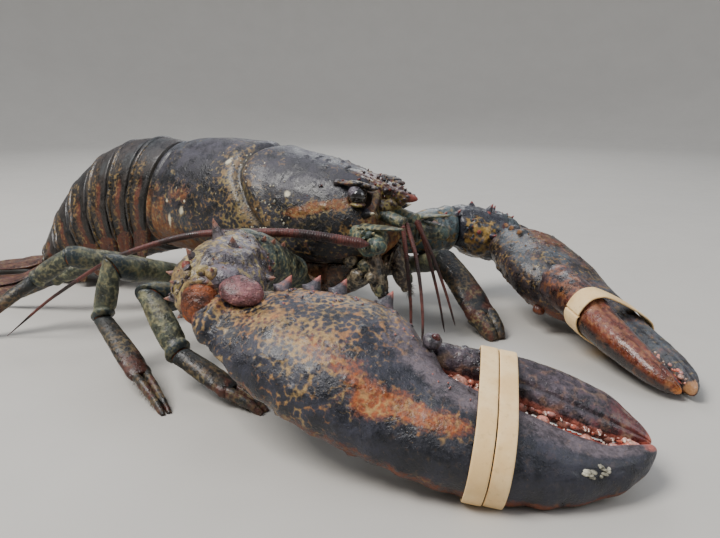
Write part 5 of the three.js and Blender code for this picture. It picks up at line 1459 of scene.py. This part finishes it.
# The crusher's two bands stand this far to each side of their common middle, as a share of the claw's length
HALF_SPACING = 10.8 / CRUSHER["length"] / 2
band("band_R_1", crusher_axes, crusher_grip, CRUSHER["length"], 0.67 - HALF_SPACING, 8, 10)
band("band_R_2", crusher_axes, crusher_grip, CRUSHER["length"], 0.67 + HALF_SPACING, 8, 10)
band("band_L", cutter_axes, cutter_grip, CUTTER["length"], 0.645, 0, 17)

# Tail

RING_AT = [0, 1, 2, 3, 4, 5, 6]
tail_back = route(
    RING_AT,
    [
        [-0.5, 0, 156], [-38, -2, 159], [-77, -7, 154], [-115, -15, 138],
        [-148, -26, 110], [-172, -36, 77], [-188, -45, 41],
    ],
)
tail_belly = route(
    RING_AT,
    [
        [-14.5, 0, 46], [-42, -2, 40], [-66, -6, 33], [-90, -13, 27],
        [-113, -22, 21], [-139, -32, 14], [-170, -42, 9],
    ],
)
tail_half = profile(RING_AT, [48, 48.5, 48, 46, 43, 38.5, 33])
tail_bend = profile(RING_AT, [0, 5, 10, 15, 20, 24, 27])
plate_step = profile([0, 0.1, 0.2, 0.8, 1, 1.06], [-2.6, -2.4, 0.4, 1, 1.6, 1.2])


lobe_half = profile([0, 0.4, 0.75, 1], [1, 0.95, 0.62, 0.2])


def plate_surface(ring):
    """One plate: y' = half width cos a, and an arch between a belly and a back point centred 0.42 of the
    way up. Its front is sunk under the plate before it, and its rear lip stands over the next."""
    s, share = rows(ring + 0.004, ring + (1.05 if ring < 5 else 0.996), 62, (0.012, 0.03), (0.02, 0.03), 6)
    angle = turns(150)
    back, belly = tail_back(s), tail_belly(s)
    centre = belly + (back - belly) * 0.42
    bend = np.radians(tail_bend(s))
    side = np.stack([-np.sin(bend), np.cos(bend), 0 * bend], -1)
    rise, folded = np.sin(angle), folded_degrees(angle)
    arm = np.where((rise > 0)[..., None], back - centre, belly - centre)
    proud = 1 + plate_step(s - ring) / 45
    reach = np.abs(rise) * share * proud
    reach = np.where(rise > 0, reach, reach**0.8)
    grid = centre + side * (tail_half(s) * np.cos(angle) * share * proud)[..., None] + arm * reach[..., None]
    t = s - ring
    ridge = 1.1 * bell(folded, 8, 7) * smooth(0.2, 0.35, t) - 0.9 * bell(folded, 22, 5) * smooth(0.25, 0.4, t)
    lip = -0.9 * bell(t, 0.86, 0.025) + 0.5 * bell(t, 0.94, 0.04)
    under = smooth(-25, -60, folded)
    skin = 0.45 * rough(grid, 18.0) + 0.15 * rough(grid, 5.0)
    grid = pushed(grid, (ridge + lip * (1 - under) + skin) * share)
    tone = rough(grid, 20.0, 3.0)
    low_side = smooth(42, 16, folded)
    band_at = bell(t, 0.5 + 0.04 * tone, 0.11)
    rear, between = bell(t, 0.9, 0.05) * smooth(74, 45, folded), bell(t, 0.62, 0.12) * smooth(60, 30, folded)
    # Painted shade where the plate's front runs under the plate before it, and in the groove before the rear
    # lip; the low-side term is the shell's own dark colour.
    dark = 0.85 * smooth(0.2, 0.1, t) * (1 - under) + 0.5 * bell(t, 0.86, 0.02)
    masks = {
        "warm": low_side * (0.12 + 0.95 * band_at) + 0.12 * smooth(0.1, 0.5, tone),
        "fleck": 0.75 * rear + 0.55 * between + 0.2 * tone,
        "dark": dark + 0.45 * low_side * (1 - band_at) * smooth(-0.3, 0.3, tone),
        "tip": 0.35 * smooth(0.98, 1.03, t) * (1 - under),
        "cool": 0.5 * smooth(0.1, 0.5, -tone) * smooth(20, 50, folded),
    }
    return closed(grid, "tail", **masks)


def side_lobe(ring, s):
    """The plate's hanging side lobe: a thin blade, wide at its root and leant back, with a raised rim and a
    fringe at its lower edge."""
    middle = ring + 0.5
    bend = math.radians(float(tail_bend(middle)))
    out = np.array([math.sin(bend), -math.cos(bend), 0]) * -s
    line = tail_belly(np.array(ring + 1.0)) - tail_belly(np.array(float(ring)))
    span, along = np.linalg.norm(line), unit(line)
    low_point, high_point = tail_belly(np.array(middle)), tail_back(np.array(middle))
    down = unit(low_point - high_point)
    root = low_point + (high_point - low_point) * 0.3 + out * float(tail_half(middle)) * 0.9
    drop = min(max(10, root[2] - 7) / abs(down[2]), 40)
    t, share = rows(0, 1, 44, (0.04, 0.09), (0.1, 0.9))
    angle = turns(48)
    wide = np.cos(angle) * share * lobe_half(t) * span * 0.46 + t * span * 0.14
    thin = np.sin(angle) * share * (4.2 - 2.4 * t) - 3 * t
    grid = root + down * (t * drop)[..., None] + along * wide[..., None] + out * thin[..., None]
    rim, keel = bell(np.abs(np.cos(angle)), 0.8, 0.12), bell(np.cos(angle), 0, 0.3)
    grid = pushed(grid, (0.5 * rim * smooth(1, 0.8, t) - 0.5 * keel) * share + 0.2 * rough(grid, 7.0))
    dark, tip = 0.3 * bell(np.cos(angle), 0, 0.2) * (t > 0.1), 0.35 * smooth(0.85, 1, t)
    lobe = closed(grid, "tail", warm=0.85 - 0.5 * rim, fleck=0.35 * rim + 0.2 * t, dark=dark, tip=tip)
    foot, reach = root + down * drop * 0.96 + along * span * 0.14 - out * 3, along * span * 0.2
    return [lobe, fringe(foot - reach - down * 3, foot + reach, 34, down, 3.0, ring * 7 + s + 3, 0.3, 0.14)]


for ring_number in range(6):
    plate = [plate_surface(ring_number)] + side_lobe(ring_number, -1) + side_lobe(ring_number, 1)
    piece(f"dressed_tail_{ring_number + 1}", plate)

# Tail fan

FAN_BEND = math.radians(27)
FAN_ALONG = np.array([-math.cos(FAN_BEND), -math.sin(FAN_BEND), 0])
FAN_SIDE = np.array([math.sin(FAN_BEND), -math.cos(FAN_BEND), 0])
TAIL_END = np.array(6.0)
FAN_ROOT = tail_belly(TAIL_END) + (tail_back(TAIL_END) - tail_belly(TAIL_END)) * 0.45


def vane(start, degrees, length, half, height, half_thick, ribs, suture=0.0):
    """A fan blade: x = t length, y = half width cos a, z = height + half thickness sin a, with lengthwise
    ribs and a cross seam, and a hair fringe round its free end."""
    turn = math.radians(degrees)
    along = FAN_ALONG * math.cos(turn) + np.cross(UP, FAN_ALONG) * math.sin(turn)
    across = np.cross(UP, along)
    t, share = rows(0, 1, 80, (0.03, 0.02), (0.2, 0.5))
    angle = turns(96)
    y = np.cos(angle) * share * half(t)
    z = height(t) + np.sin(angle) * share * half_thick(t)
    grid = start + along * (t * length)[..., None] + across * y[..., None]
    grid[..., 2] = z
    top = smooth(0, 0.4, np.sin(angle))
    relief = sum(0.9 * bell(y / half(t), at, 0.08) for at in ribs) * smooth(1, 0.8, t) * smooth(0, 0.15, t)
    seam = -0.9 * bell(t, suture, 0.012) if suture else 0 * t
    grid[..., 2] += (relief + seam + 0.25 * rough(grid, 9.0)) * top * share
    tone = rough(grid, 15.0, 5.0)
    edge = smooth(0.75, 1, np.abs(y) / half(t)) + smooth(0.9, 1, t)
    dark = 0.6 * bell(t, suture, 0.01) if suture else 0
    masks = {"warm": 0.8 + 0.4 * tone, "fleck": 0.3 + 0.3 * tone, "dark": dark, "tip": 0.25 * edge}
    surfaces = [closed(grid, "tail", cool=0.35 * (tone < 0), **masks)]
    draw = np.random.default_rng(int(abs(degrees)) + 90)
    turn_at = np.linspace(-1, 1, 260)
    end_t = 1 - 0.32 * np.abs(turn_at) ** 2.2
    reach = np.where(np.abs(turn_at) < 0.6, turn_at / 0.6, np.sign(turn_at)) * 0.98
    roots = start + along * (end_t * length)[:, None] + across * (half(end_t) * reach)[:, None]
    roots[:, 2] = height(end_t)
    aim = along + across * (turn_at * 0.7)[:, None] + draw.normal(0, 0.08, (260, 3)) * [1, 1, 0.3]
    surfaces.append(bristles(roots, aim, 5.5 * draw.uniform(0.7, 1.1, 260), 0.2))
    return surfaces


VANE_AT, UROPOD_AT, TELSON_AT = [0, 0.2, 0.6, 0.85, 0.95, 1], [0, 0.2, 0.45, 1], [0, 0.12, 0.35, 0.7, 1]
telson_half = profile([0, 0.15, 0.5, 0.85, 0.95, 1], [17, 21, 27, 25, 20, 11])
telson_rise = profile(TELSON_AT, [25, 22, 15, 11.4, 9])
telson_thick = profile(TELSON_AT, [13, 9, 4.6, 3, 1.6])
telson = vane(FAN_ROOT - FAN_ALONG * 10, 0, 106, telson_half, telson_rise, telson_thick, (-0.45, 0.45))
piece("dressed_telson", telson)
inner_half, outer_half = profile(VANE_AT, [8, 12, 24, 22, 16, 8]), profile(VANE_AT, [8, 13, 25, 23, 17, 8])
inner_form = inner_half, profile(UROPOD_AT, [17, 12, 5.6, 4]), profile(UROPOD_AT, [8, 5.4, 1.9, 1.5])
outer_form = outer_half, profile(UROPOD_AT, [17, 9, 1.2, 1]), profile(UROPOD_AT, [8, 5, 1.9, 1.7])
for side_name, s in (("R", 1), ("L", -1)):
    stem = FAN_ROOT + FAN_SIDE * s * 22 - FAN_ALONG * 8
    blades = vane(stem, s * 24, 100, *inner_form, (0.0,))
    blades += vane(stem, s * 54, 102, *outer_form, (-0.1, 0.35), 0.74)
    piece(f"dressed_uropod_{side_name}", blades)

# Eyes


EYE_RADIUS = 7.2


def eye_surface(s):
    """A ball whose polar axis points out of the socket; the part behind its middle is pale and a little
    smaller."""
    centre = EYE_PLACE * [1, s, 1]
    out = unit(np.array([0.35, s * 0.9, 0.15]))
    _, side, top = frame_of(centre, centre + out)
    polar = np.linspace(0.02, math.pi - 0.02, 60)[:, None]
    radius = EYE_RADIUS * (1 - 0.03 * smooth(1.75, 1.9, polar))
    grid = circles(centre, side, top, radius * np.sin(polar), turns(72))
    grid = grid + out * (radius * np.cos(polar))[..., None]
    return closed(grid, "eye", warm=smooth(1.78, 1.9, polar))


def stalk_tint(t, angle, grid):
    """Flecked, with a pale rim under the eye."""
    return {"fleck": 0.5, "tip": 0.5 * smooth(0.8, 0.95, t)}


for side_name, s in SIDES.items():
    piece(f"dressed_eye_{side_name}", [eye_surface(s)])
    centre = EYE_PLACE * [1, s, 1]
    inner = centre - np.array([14, s * 16, 3])
    girth = [size([0, 0.7, 1], [4.5, 5.5, 6])] * 2
    settings = {"around": 36, "count": 24, "rim": 0.1, "flare": 0.06, "grain": 0.2}
    stalk = straight(inner, centre - unit(centre - inner) * 3, *girth, "head", stalk_tint, **settings)
    lid = knob(centre + np.array([-2.0, s * 0.8, 2.6]), [6.4, 6.2, 5.2], "wrist", None, 36, 0.3, cool=0.6)
    rim_place = centre + np.array([0.5, s * 1.2, -6.4])
    rim = knob(rim_place, [7.0, 6.0, 2.2], "rostrum", None, 36, 0.6, fleck=1.0, warm=0.9)
    piece(f"dressed_eyestalk_{side_name}", [stalk, lid, rim])

# Feelers

ANTENNA_AT = [0, 0.22, 0.42, 0.65, 0.86, 1]
ANTENNA = {
    "R": [[256, -50, 92], [203, -86, 101], [148, -108, 98], [80, -136, 79], [18, -166, 40], [-24, -190, 2]],
    "L": [[264, 50, 89], [205, 82, 93], [148, 106, 96], [80, 134, 79], [18, 164, 40], [-24, 190, 2]],
}
PEDUNCLE = {
    "R": [[232, -24, 92], [249, -33, 91], [258, -42, 90]],
    "L": [[232, 24, 92], [252, 33, 90], [268, 42, 88]],
}
ANTENNULE = {
    "R": [
        [[262, -12, 103], [270, -17, 70], [276, -20, 30], [277, -22, 1.2]],
        [[262, -7, 104], [276, -14, 78], [290, -26, 36], [296, -36, 6]],
    ],
    "L": [
        [[262, 12, 103], [268, 20, 72], [274, 30, 32], [278, 35, 1.2]],
        [[262, 7, 104], [274, 14, 76], [286, 22, 38], [292, 27, 12]],
    ],
}
MOUTH = {
    "R": [[212, -15, 46], [238, -17, 66], [250, -19, 40]],
    "L": [[212, 15, 46], [238, 17, 66], [250, 18, 38]],
}


# Plates round the antenna's base and lumps round the mouth: place, half axes and look
BASE_PLATES = (
    ((10, 8, -7), (10, 3, 8), "head"), ((2, 9, 3), (9, 3.5, 7), "head"), ((16, 3, 6), (8, 6, 3), "head"),
    ((20, 9, -4), (7, 4, 6), "head"),
)
MOUTH_LUMPS = (
    ((8, 6, 10), (7, 5, 6), "head"), ((16, 9, 2), (6, 5, 5), "mouth"), ((2, 9, 2), (7, 5, 6), "mouth"),
    ((22, 6, -8), (5, 4, 6), "head"), ((10, 3, 20), (8, 5, 5), "mouth"), ((-6, 8, 14), (7, 5, 7), "mouth"),
)


def head_tint(t, angle, grid):
    """Green-grey with pale flecks and a darker far rim."""
    warm, dark = 0.4 * smooth(0, 0.5, rough(grid, 8.0)), 0.3 * bell(t, 0.86, 0.03)
    return {"fleck": 0.6, "warm": warm, "dark": dark, "cool": 0.3}


def antenna_base(name, s):
    """Two short lengths with plates, thorns and a leaf-shaped scale edged with bristles."""
    root, bend, end = np.array(PEDUNCLE[name], float)
    along = unit(end - root)
    first_girth = flat_size(12.5), flat_size(11)
    second_girth = size([0, 1], [9, 7.5]), size([0, 1], [8.5, 7])
    first = {"around": 52, "count": 34, "rim": 0.07, "flare": 0.05, "grain": 0.6}
    second = {"around": 44, "count": 28, "rim": 0.08, "flare": 0.06, "grain": 0.4}
    base = [
        limb(root, bend, along, along, *first_girth, "head", head_tint, **first),
        limb(bend, end, along, along, *second_girth, "head", head_tint, **second),
        knob(end, [7.6, 7.6, 7], "head", None, 34, 0.4, fleck=0.4, cool=0.4),
        spike(bend + [2, s * 9, 6], [1, s * 0.6, 0.4], 3.0, 9, "head"),
        spike(root + [6, s * 11, 4], [0.8, s * 0.8, 0.3], 3.0, 9, "head"),
    ]
    base += knobs(root, s, BASE_PLATES, 34, 0.9, fleck=0.6, cool=0.7, tip=0.15)
    leaf_root, leaf_tip = root + [4, s * 6, 8], np.array([278, s * 38, 104.0])
    leaf_along, leaf_side, _ = frame_of(leaf_root, leaf_tip)
    girth = size([0, 0.5, 1], [7, 7.5, 1.2]), size([0, 1], [3.4, 0.9])
    settings = {"around": 44, "count": 50, "rim": 0.04, "flare": 0.0, "grain": 0.3}
    base.append(straight(leaf_root, leaf_tip, *girth, "head", head_tint, **settings))
    for k in (-1, 1):
        edge, out = leaf_side * k * 6.5, leaf_side * k + leaf_along * 0.9
        base.append(fringe(leaf_root + edge, leaf_tip + edge * 0.3, 60, out, 5.0, 60 + k + s, 0.25))
    draw = np.random.default_rng(70 + s)
    for _ in range(26):
        turn = draw.uniform(0, 2 * math.pi)
        spot = root + along * draw.uniform(4, 22) + np.array([0, math.cos(turn), math.sin(turn)]) * 10.5
        base.append(spike(spot, [0.8, math.cos(turn), math.sin(turn)], 1.5, 3.2, "head", 0.05, 8))
    return base


def antennule(name, s):
    """A short stem with a fringe and two thin feelers."""
    root, end = np.array([238, s * 8, 108.0]), np.array([263, s * 10, 103.0])
    girth = size([0, 0.4, 1], [6, 5.6, 4.8]), size([0, 0.4, 1], [6, 5.4, 4.4])
    settings = {"around": 36, "count": 40, "rim": 0.06, "flare": 0.08, "grain": 0.25}
    parts = [straight(root, end, *girth, "head", head_tint, **settings)]
    for points in ANTENNULE[name]:
        radius = profile([0, 0.3, 1], [2, 1.7, 0.8])
        parts.append(whip(route([0, 0.33, 0.75, 1], points), radius, 420, "feeler", 1.5, 10))
    return parts + [fringe(root + [8, 0, -4], end + [0, 0, -3], 40, [0.6, 0, -1], 4.0, 80 + s)]


def mouth_limb(name, s):
    """A bent limb by the mouth, with lumps beside it, teeth on its inner side and tufts of bristles."""
    root, bend, end = np.array(MOUTH[name], float)
    fore, aft = unit(bend - root), unit(end - bend)
    cut = unit(fore + aft)
    first_girth = size([0, 0.6, 1], [8, 10, 8]), size([0, 0.6, 1], [7, 9, 8])
    second_girth = size([0, 0.5, 1], [8, 8.6, 4]), size([0, 0.5, 1], [8, 7, 4])
    settings = {"around": 44, "count": 44, "grain": 0.5}
    mouth = [
        limb(root, bend, fore, cut, *first_girth, "mouth", head_tint, rim=0.05, **settings),
        limb(bend - aft, end, cut, aft, *second_girth, "mouth", head_tint, rim=0.06, **settings),
        knob(bend, 7.4, "membrane", None, 24, 0.3, warm=0.4),
    ]
    mouth += knobs((root + bend) / 2, s, MOUTH_LUMPS, 26, 1.0, fleck=0.7, tip=0.25, cool=0.3)
    for k in range(5):
        tooth_root = root + (bend - root) * (0.15 + 0.17 * k) + np.array([0, -s * 7, 0])
        mouth.append(spike(tooth_root, [0.3, -s, -0.2], 1.6, 3.6, "tooth", 0, 8))
    tufts = [0.9, 0, -0.4], [0.5, -s * 0.8, -0.5], [0.7, s * 0.7, -0.6], [0.9, s * 0.2, 0.1]
    for k, away in enumerate(tufts):
        offset, out = unit(np.array(away)) * 6, np.array(away) + aft * 0.6
        mouth.append(fringe(bend + offset, end + offset * 0.6, 70, out, 6.5, 100 + k + s))
    return mouth


antenna_radius = profile([0, 0.1, 0.6, 1], [4.2, 3.7, 2.3, 0.9])
for side_name, s in SIDES.items():
    piece(f"dressed_antenna_base_{side_name}", antenna_base(side_name, s))
    feeler = whip(route(ANTENNA_AT, ANTENNA[side_name]), antenna_radius, 1150, "feeler", 1.9, 14)
    piece(f"dressed_antenna_{side_name}", [feeler])
    piece(f"dressed_antennule_{side_name}", antennule(side_name, s))
    piece(f"dressed_mouth_limb_{side_name}", mouth_limb(side_name, s))

# Floor, light and camera



def bowl_mesh(flat_reach=2.4, rim_bend=1.2, rim_top=2.6, segments=120):
    """A flat round floor, in metres, whose rim bends up as a quarter circle and ends in a wall."""
    bend = np.radians(np.linspace(0, 90, 19))
    outer = flat_reach + rim_bend
    radii = np.concatenate([[0.02, 0.6, 1.2, 1.8], flat_reach + rim_bend * np.sin(bend), [outer] * 2])
    heights = np.concatenate([np.zeros(4), rim_bend * (1 - np.cos(bend)), [2.0, rim_top]])
    spoke = turns(segments)
    x, y = radii[:, None] * np.cos(spoke), radii[:, None] * np.sin(spoke)
    bowl = np.stack([x, y, heights[:, None] + 0 * spoke], -1)
    index = np.arange(len(radii) * segments).reshape(-1, segments)
    ahead = np.roll(index, -1, axis=1)
    faces = np.stack([index[:-1], index[1:], ahead[1:], ahead[:-1]], -1).reshape(-1, 4).tolist()
    mesh = bpy.data.meshes.new("floor")
    mesh.from_pydata(bowl.reshape(-1, 3).tolist(), [], faces + [index[0].tolist()])
    mesh.polygons.foreach_set("use_smooth", [True] * len(mesh.polygons))
    mesh.materials.append(material("floor_paint", floor_finish))
    return mesh


floor = bpy.data.objects.new("floor", bowl_mesh())
bpy.context.scene.collection.objects.link(floor)

world = bpy.data.worlds.new("studio")
world.use_nodes = True
sky = Bench(world.node_tree)
height = sky("SeparateXYZ", {0: sky.coordinates["Generated"]}).outputs[2]
sky_colour = sky.mix(sky.span(height, 0.0, 0.9), (0.17, 0.18, 0.2, 1), (0.54, 0.57, 0.64, 1))
world.node_tree.links.new(sky_colour, world.node_tree.nodes["Background"].inputs["Color"])
world.node_tree.nodes["Background"].inputs["Strength"].default_value = 1.0
bpy.context.scene.world = world


def soft_light(name, place, target, size_m, power, colour):
    """A square area light that faces its target."""
    data = bpy.data.lights.new(name, "AREA")
    data.size, data.energy, data.color = size_m, power, colour
    lamp = bpy.data.objects.new(name, data)
    lamp.location = place
    lamp.rotation_euler = (Vector(target) - Vector(place)).to_track_quat("-Z", "Y").to_euler()
    bpy.context.scene.collection.objects.link(lamp)


soft_light("key_light", (-0.5, -1.1, 1.9), (0.05, 0, 0.05), 1.0, 60, (1.0, 0.97, 0.93))
soft_light("fill_light", (1.9, 0.3, 1.2), (0.1, 0, 0.05), 1.0, 10, (0.94, 0.97, 1.0))
soft_light("back_light", (-1.0, 1.7, 1.5), (0, 0, 0.1), 1.2, 15, (0.95, 0.98, 1.0))

# The photograph's camera: place in the body frame, line of sight and lens on a sensor 36 mm wide
CAMERA_PLACE, CAMERA_AIM, CAMERA_LENS = (533.97, -459.4, 200.0), (-0.5556, 0.7934, -0.2487), 33.4
camera_data = bpy.data.cameras.new("camera")
camera_data.lens, camera_data.sensor_width = CAMERA_LENS, 36
camera = bpy.data.objects.new("camera", camera_data)
camera.location = (CAMERA_PLACE + SHIFT) / 1000
camera.rotation_euler = Vector(CAMERA_AIM).to_track_quat("-Z", "Y").to_euler()
bpy.context.scene.collection.objects.link(camera)
bpy.context.scene.camera = camera
